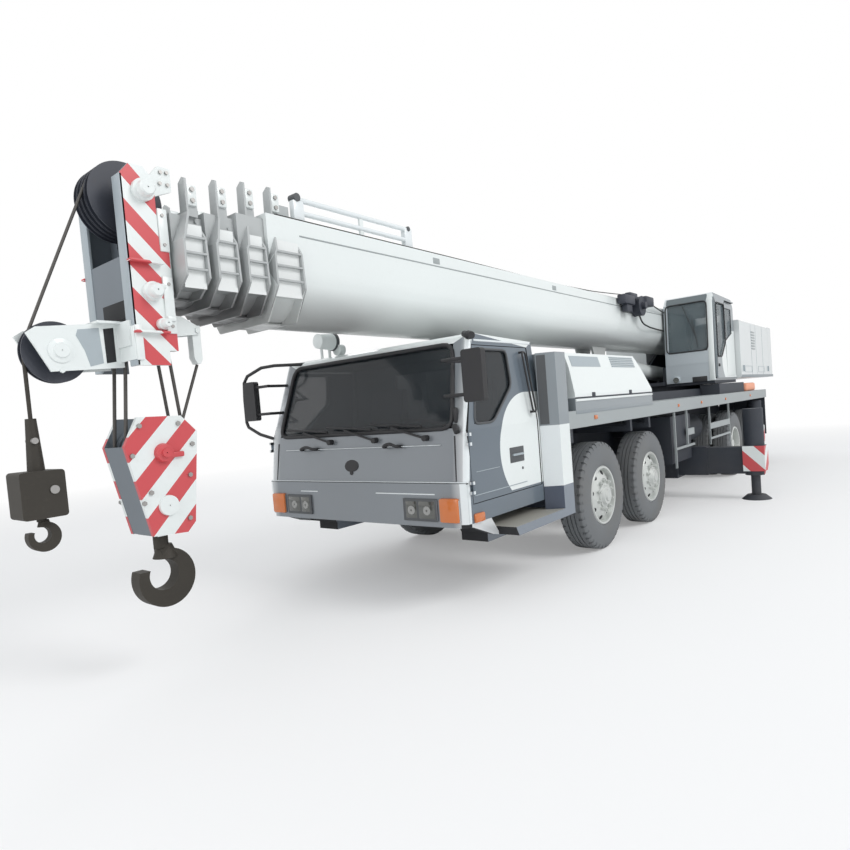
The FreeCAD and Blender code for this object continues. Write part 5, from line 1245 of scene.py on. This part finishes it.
class CRANE_OT_boom(bpy.types.Operator):
    """Weld seams, collar trim, top rail, cable reel and hoses of the boom."""
    bl_idname = "crane.boom"
    bl_label = "Boom trim"

    def execute(self, context):
        self.seams()
        self.collar_bolts()
        self.collar_panels()
        self.top_rail()
        self.reel()
        return {"FINISHED"}

    @staticmethod
    def seams():
        with piece("boom_seams", "boom", "grey") as bm:
            for sign in SIDES.values():
                add_rod(bm, at(10.70, sign * 0.385, 2.945), at(-0.70, sign * 0.385, 2.945),
                        0.006, 6)
            for b in evenly(4, 0.9, 2.4):
                add_pair(bm, at(b + 0.10, 0.38, 2.965), at(b, 0.388, 3.02), 0.003)

    @staticmethod
    def collar_bolts():
        """Bolted pads between the collars' upright plates, on each section's own body."""
        radius = sizes().bolt_radius
        for number, (body, ahead, top, side) in enumerate(COLLARS, 1):
            x = back(-ahead) - 0.104
            with piece(f"collar_pads_{number}", body, "white") as bm:
                add_pair(bm, (x - 0.070, 0.262, top - 0.175), (x, 0.330, top - 0.045), 0.008)
            with piece(f"collar_bolts_{number}", body, "bolt") as bm:
                for z in (top - 0.145, top - 0.075):
                    add_pin_pair(bm, x - 0.035, z, 0.328, 0.342, radius, 6)

    @staticmethod
    def collar_panels():
        """Pale panels between the flanges of each collar, a little inside their edges."""
        for number, (body, ahead, top, side) in enumerate(COLLARS, 1):
            front = back(-ahead) - 0.015
            rear = back(-ahead) - (0.255 if number == 1 else 0.165)
            points = ((rear, 2.480), (front, 2.480), (front, 2.770), (front - 0.050, 2.880),
                      (rear, 2.880))
            with piece(f"collar_panels_{number}", body, "panel") as bm:
                for y in (side - 0.054, 0.050 - side):
                    add_plate(bm, "XZ", points, y, y + 0.004)

    @staticmethod
    def top_rail():
        """Pads and end blocks of the frame on the boom's left top edge."""
        with piece("top_rail_pads", "boom", "pale") as bm:
            for z in (3.140, 3.236):
                add_rod(bm, at(0.58, 0.331, z), at(-0.63, 0.331, z), 0.020, 12)
            add_box(bm, at(-0.60, 0.300, 3.062), at(-0.70, 0.352, 3.225), 0.008)
            add_box(bm, at(0.66, 0.300, 3.062), at(0.56, 0.352, 3.250), 0.008)
        with piece("top_rail_rollers", "boom", "slate") as bm:
            add_pin(bm, back(-0.665), 3.245, 0.285, 0.360, 0.030)
            add_pin(bm, back(0.61), 3.240, 0.290, 0.356, 0.022)

    @staticmethod
    def reel():
        with piece("cable_reel", "boom", "sheave") as bm:
            for start, end, radius, sides in ((0.405, 0.417, 0.155, 28), (0.528, 0.540, 0.155, 28),
                                              (0.53, 0.60, 0.055, 20)):
                add_pin(bm, back(6.05), 2.97, start, end, radius, sides)
            for low, high, bevel in (
                    (at(6.50, 0.420, 2.985), at(6.16, 0.575, 3.135), 0.020),
                    (at(5.78, 0.400, 2.960), at(5.36, 0.530, 3.100), 0.020),
                    (at(5.72, 0.410, 2.850), at(5.50, 0.500, 2.965), 0.012),
                    (at(6.30, 0.39, 2.86), at(5.80, 0.43, 3.10), 0.01),
                    (at(5.92, 0.42, 3.06), at(5.62, 0.52, 3.15), 0.015)):
                add_box(bm, low, high, bevel)
        tube("reel_cable", [at(5.50, 0.47, 3.10), at(5.0, 0.42, 3.085), at(4.4, 0.372, 3.072),
                            at(1.0, 0.372, 3.068), at(-0.90, 0.372, 3.068)],
             0.006, "boom", "rubber")
        tube("reel_hose", [at(6.06, 0.47, 2.85), at(6.20, 0.47, 2.73), at(6.45, 0.47, 2.68),
                           at(6.80, 0.44, 2.67), at(7.40, 0.41, 2.66)], 0.012, "boom", "rubber")
        tube("reel_hose_upper", [at(6.46, 0.50, 3.06), at(7.0, 0.45, 3.02), at(7.6, 0.42, 2.96)],
             0.010, "boom", "rubber")


class CRANE_OT_head(bpy.types.Operator):
    """Pin caps, ledges, flanges, brackets and front rope of the boom head and nose."""
    bl_idname = "crane.head"
    bl_label = "Boom head trim"

    def execute(self, context):
        with piece("head_pin_caps", "telescope_5", "white") as bm:
            for ahead, z, radius in ((1.820, 3.050, 0.066), (1.820, 2.445, 0.058),
                                     (1.775, 2.250, 0.036)):
                x = back(-ahead)
                add_cap_pair(bm, x, z, HEAD_CHEEK, (
                    (0.0, 0.005), (0.0, radius), (0.030, radius), (0.036, radius * 0.78),
                    (0.075, radius * 0.72), (0.085, radius * 0.60), (0.085, 0.005)), 28)
                add_pair(bm, (x - 0.085, HEAD_CHEEK, z + 0.02),
                         (x - 0.03, HEAD_CHEEK + 0.028, z + 0.05), 0.006)
        with piece("head_ledges", "telescope_5", "head") as bm:
            for z in (2.610, 2.190):
                add_pair(bm, at(-1.745, HEAD_CHEEK, z), at(-1.955, HEAD_CHEEK + 0.045, z + 0.014),
                         0.003)
        with piece("nose_caps", "telescope_5", "white") as bm:
            x = back(-NOSE_PIN[0])
            add_cap_pair(bm, x, NOSE_PIN[1], 0.0, (
                (0.098, 0.050), (0.098, 0.072), (0.108, 0.070), (0.112, 0.045), (0.122, 0.040),
                (0.122, 0.004), (0.104, 0.004)), 28)
            add_pin_pair(bm, x + 0.005, 1.985, 0.10, 0.112, 0.014, 6)
        self.head_flanges()
        self.nose_shade()
        self.socket()
        self.front_rope()
        return {"FINISHED"}

    @staticmethod
    def head_flanges():
        """Front flanges and rear rails of the head's side plates, and the brackets on them."""
        front = back(-1.945)
        with piece("head_flanges", "telescope_5", "mid_grey") as bm:
            add_pair(bm, (front - 0.012, 0.195, 2.000), (front + 0.004, 0.290, 3.128), 0.002)
        # a thin dark box painted as the shade in a recess of the head's front
        with piece("head_recess_shade", "telescope_5", "deep") as bm:
            add_box(bm, (front - 0.004, -0.090, 2.290), (front + 0.002, 0.190, 2.400), 0.001)
        with piece("head_rails", "telescope_5", "white") as bm:
            for low, high in ((at(-1.678, 0.284, 2.700), at(-1.738, 0.300, 2.962)),
                              (at(-1.684, 0.284, 2.195), at(-1.748, 0.302, 2.545)),
                              (at(-1.905, 0.284, 2.030), at(-1.950, 0.302, 2.240))):
                add_pair(bm, low, high, 0.004)
            add_pair(bm, (front + 0.001, 0.100, 2.035), (front + 0.012, 0.292, 2.235), 0.002)
            add_plate(bm, "XZ", [(back(-ahead), z) for ahead, z in (
                (1.625, 3.085), (1.790, 3.010), (1.790, 3.120), (1.705, 3.225), (1.625, 3.225))],
                0.262, 0.288)
            add_pin(bm, back(-1.665), 3.165, 0.160, 0.262, 0.040)
        with piece("head_bolts", "telescope_5", "bolt") as bm:
            for ahead, z in ((1.650, 3.120), (1.650, 3.195), (1.700, 3.120), (1.690, 3.190)):
                add_pin(bm, back(-ahead), z, 0.286, 0.300, 0.012, 6)
            for z in (2.740, 2.920, 2.240, 2.500):
                add_pin(bm, back(-1.712), z, 0.298, 0.308, 0.011, 6)

    @staticmethod
    def nose_shade():
        """Grey field and dark slot on the rear of the nose plates, painted as the shade of their
        recess.
        """
        for name, finish, points in (
                ("nose_shade_field", "mid_grey", ((2.060, 2.030), (2.137, 2.010), (2.160, 2.100),
                                            (2.202, 2.190), (2.190, 2.225), (2.070, 2.240))),
                ("nose_shade_slot", "deep", ((1.985, 2.040), (2.042, 2.030), (2.045, 2.235),
                                       (1.985, 2.245)))):
            with piece(name, "telescope_5", finish) as bm:
                outline = [(back(-ahead), z) for ahead, z in points]
                add_plate(bm, "XZ", outline, 0.0995, 0.1015)
                add_plate(bm, "XZ", outline, -0.1015, -0.0995)

    @staticmethod
    def socket():
        """Wedge socket of the rope's dead end on a bracket behind the head."""
        with piece("socket_bracket", "telescope_5", "white") as bm:
            outline = [(back(-ahead), z) for ahead, z in (
                (1.70, 2.345), (1.70, 2.190), (1.600, 2.205), (1.440, 2.225), (1.440, 2.275),
                (1.560, 2.335))]
            for side in (0.055, 0.137):
                add_plate(bm, "XZ", outline, side, side + 0.012)
            add_pin(bm, back(-1.71), 2.27, -0.262, 0.262, 0.030)
            add_pin(bm, back(-1.455), 2.250, 0.045, 0.160, 0.018)
        with piece("wedge_socket", "telescope_5", "white") as bm:
            add_plate(bm, "XZ", [(back(-ahead), z) for ahead, z in (
                (1.485, 2.285), (1.425, 2.285), (1.425, 2.060), (1.440, 2.030), (1.465, 2.030),
                (1.485, 2.070))], 0.070, 0.134)

    @staticmethod
    def front_rope():
        """Rope of the small hook from the head's sheave down to the nose sheave."""
        top = Vector(at(-1.82, 0.0, 3.05))
        low = Vector(at(-NOSE_PIN[0], 0.0, NOSE_PIN[1]))
        radius, low_radius = 0.217, 0.158
        run = low - top
        turn = math.atan2(run.x, -run.z)
        turn -= math.asin((radius - low_radius) / run.length)
        points = []
        first = math.radians(95.0)
        for step in range(7):
            angle = first + (turn - first) * step / 6.0
            points.append(top + Vector((math.cos(angle), 0.0, math.sin(angle))) * radius
                          + Vector((0.0, 0.025, 0.0)))
        for step in range(6):
            angle = turn * (1.0 - step / 5.0)
            points.append(low + Vector((math.cos(angle), 0.0, math.sin(angle))) * low_radius)
        tube("front_rope", points, 0.009, "telescope_5", "rope")


# Hooks

class CRANE_OT_hooks(bpy.types.Operator):
    """Pin caps, bolts and pins of the hooks, and the rope's dead end."""
    bl_idname = "crane.hooks"
    bl_label = "Hook trim"

    def execute(self, context):
        x = back(-1.775)
        radius = sizes().bolt_radius
        with piece("block_caps", "main_tackle", "white") as bm:
            add_cap_pair(bm, x, 1.125, BLOCK_CHEEK, (
                (0.0, 0.004), (0.0, 0.066), (0.018, 0.063), (0.020, 0.004)), 32)
        with piece("block_sheave_caps", "main_tackle", "red") as bm:
            add_cap_pair(bm, x, 1.460, BLOCK_CHEEK, (
                (0.0, 0.004), (0.0, 0.062), (0.030, 0.055), (0.034, 0.030), (0.050, 0.028),
                (0.050, 0.004)), 28)
            add_pair(bm, (x - 0.13, BLOCK_CHEEK, 1.425), (x + 0.02, BLOCK_CHEEK + 0.024, 1.46),
                     0.008)
        with piece("block_bolts", "main_tackle", "bolt") as bm:
            for ahead, z in ((1.915, 1.64), (1.660, 1.64), (1.975, 1.46), (1.575, 1.50),
                             (1.880, 1.22), (1.610, 1.30), (1.930, 1.16), (1.640, 1.02)):
                add_pin_pair(bm, back(-ahead), z, BLOCK_CHEEK, BLOCK_CHEEK + 0.012, radius, 6)
        with piece("weight_pins", "small_tackle", "bolt") as bm:
            add_pin(bm, back(-2.40), 1.32, -0.108, 0.108, 0.024, 20)
            add_pin(bm, back(-2.453), 1.60, 0.050, -0.050, 0.018, 12)
        tube("dead_end", [at(-1.453, 0.102, 2.025), at(-1.60, 0.102, 1.655)], 0.010,
             "main_tackle", "rope")
        return {"FINISHED"}


# Stage

# Distances from the origin between which the floor turns white
FLOOR_FADE = (9.0, 17.0)
FLOOR_SIZE = 70.0

# Name, place, aimed point, diameter and power
STAGE_LAMPS = (
    ("Key", (1.0, 15.0, 13.0), (0.0, 0.0, 1.0), 9.0, 1500.0),
    ("Fill", (15.0, 1.0, 6.0), (0.0, 0.0, 1.5), 8.0, 330.0),
    ("Back", (-9.0, -12.0, 9.0), (0.0, 0.0, 1.0), 8.0, 500.0))

# The photograph's viewing angle, with the turns in degrees
CAMERA_PLACE = (8.53988, 3.91046, 1.58742)
CAMERA_TURNS = (-141.27996, -2.72055, -4.62533)
CAMERA_LENS = 26.053
CAMERA_SHIFT = (-0.00595, 0.01815)


def floor_material():
    """Pale floor that keeps the shadow and turns white as seen far from the crane."""
    material = plain("Floor", (0.93, 0.93, 0.93), 0.9)
    tree = material.node_tree
    far = add_node(tree, "ShaderNodeVectorMath", {0: object_place(tree)}, operation="LENGTH")
    share = spread(tree, far.outputs["Value"], *FLOOR_FADE, 0.25, 1.0)
    path = tree.nodes.new("ShaderNodeLightPath")
    share = math_node(tree, "MULTIPLY", share, path.outputs["Is Camera Ray"])
    white = tree.nodes.new("ShaderNodeEmission")
    mix = add_node(tree, "ShaderNodeMixShader", {
        0: share, 1: tree.nodes["Principled BSDF"].outputs[0], 2: white.outputs[0]})
    tree.links.new(mix.outputs[0], tree.nodes["Material Output"].inputs["Surface"])
    return material


class CRANE_OT_stage(bpy.types.Operator):
    """Floor, world, lamps and the camera at the photograph's viewing angle."""
    bl_idname = "crane.stage"
    bl_label = "Stage"

    def execute(self, context):
        self.floor()
        self.world(context.scene)
        for row in STAGE_LAMPS:
            self.lamp(*row)
        self.camera(context.scene)
        return {"FINISHED"}

    @staticmethod
    def floor():
        bm = bmesh.new()
        bmesh.ops.create_grid(bm, x_segments=1, y_segments=1, size=FLOOR_SIZE)
        mesh = bpy.data.meshes.new("floor")
        bm.to_mesh(mesh)
        bm.free()
        item = bpy.data.objects.new("floor", mesh)
        bpy.context.scene.collection.objects.link(item)
        mesh.materials.append(floor_material())

    @staticmethod
    def world(scene):
        world = bpy.data.worlds.new("Studio")
        scene.world = world
        world.use_nodes = True
        tree = world.node_tree
        tree.nodes.clear()
        light = add_node(tree, "ShaderNodeBackground", {
            "Color": (0.94, 0.97, 1.0, 1.0), "Strength": 0.62})
        white = add_node(tree, "ShaderNodeBackground", {"Color": (1.0, 1.0, 1.0, 1.0)})
        path = tree.nodes.new("ShaderNodeLightPath").outputs
        seen = math_node(tree, "MAXIMUM", path["Is Camera Ray"], path["Is Glossy Ray"])
        seen = math_node(tree, "MAXIMUM", seen, path["Is Transmission Ray"])
        mix = add_node(tree, "ShaderNodeMixShader", {
            0: seen, 1: light.outputs[0], 2: white.outputs[0]})
        add_node(tree, "ShaderNodeOutputWorld", {0: mix.outputs[0]})

    @staticmethod
    def lamp(name, place, aim, size, power):
        data = bpy.data.lights.new(name, "AREA")
        data.shape = "DISK"
        data.size = size
        data.energy = power
        item = bpy.data.objects.new(name, data)
        bpy.context.scene.collection.objects.link(item)
        item.location = place
        item.rotation_euler = (Vector(aim) - Vector(place)).to_track_quat("-Z", "Y").to_euler()

    @staticmethod
    def camera(scene):
        data = bpy.data.cameras.new("Camera")
        data.lens = CAMERA_LENS
        data.sensor_width = 36.0
        data.shift_x, data.shift_y = CAMERA_SHIFT
        data.clip_end = 200.0
        item = bpy.data.objects.new("Camera", data)
        scene.collection.objects.link(item)
        yaw, pitch, roll = (math.radians(turn) for turn in CAMERA_TURNS)
        level = math.cos(pitch)
        ahead = Vector((math.cos(yaw) * level, math.sin(yaw) * level, math.sin(pitch)))
        right = ahead.cross(Vector((0.0, 0.0, 1.0))).normalized()
        up = right.cross(ahead)
        side = right * math.cos(roll) + up * math.sin(roll)
        top = -right * math.sin(roll) + up * math.cos(roll)
        turn = Matrix((side, top, -ahead)).transposed()
        item.matrix_world = Matrix.Translation(CAMERA_PLACE) @ turn.to_4x4()
        scene.camera = item
        scene.view_settings.view_transform = "Standard"


OPERATORS = (CRANE_OT_paint, CRANE_OT_wheels, CRANE_OT_cab_trim, CRANE_OT_doors, CRANE_OT_lamps,
             CRANE_OT_hood, CRANE_OT_operator, CRANE_OT_boom, CRANE_OT_head, CRANE_OT_hooks,
             CRANE_OT_stage)


class CRANE_PT_sidebar(bpy.types.Panel):
    """The crane's pieces in the sidebar."""
    bl_idname = "CRANE_PT_sidebar"
    bl_label = "Truck crane"
    bl_space_type = "VIEW_3D"
    bl_region_type = "UI"
    bl_category = "Crane"

    def draw(self, context):
        for kind in OPERATORS:
            self.layout.operator(kind.bl_idname)


CLASSES = (CraneSizes, CraneColours, *OPERATORS, CRANE_PT_sidebar)


def register():
    for kind in CLASSES:
        bpy.utils.register_class(kind)
    bpy.types.Scene.crane_sizes = bpy.props.PointerProperty(type=CraneSizes)
    bpy.types.Scene.crane_colours = bpy.props.PointerProperty(type=CraneColours)


def unregister():
    del bpy.types.Scene.crane_sizes
    del bpy.types.Scene.crane_colours
    for kind in reversed(CLASSES):
        bpy.utils.unregister_class(kind)


def main():
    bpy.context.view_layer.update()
    register()
    make_finishes()
    for kind in OPERATORS:
        group, action = kind.bl_idname.split(".")
        getattr(getattr(bpy.ops, group), action)()


if __name__ == "__main__":
    main()
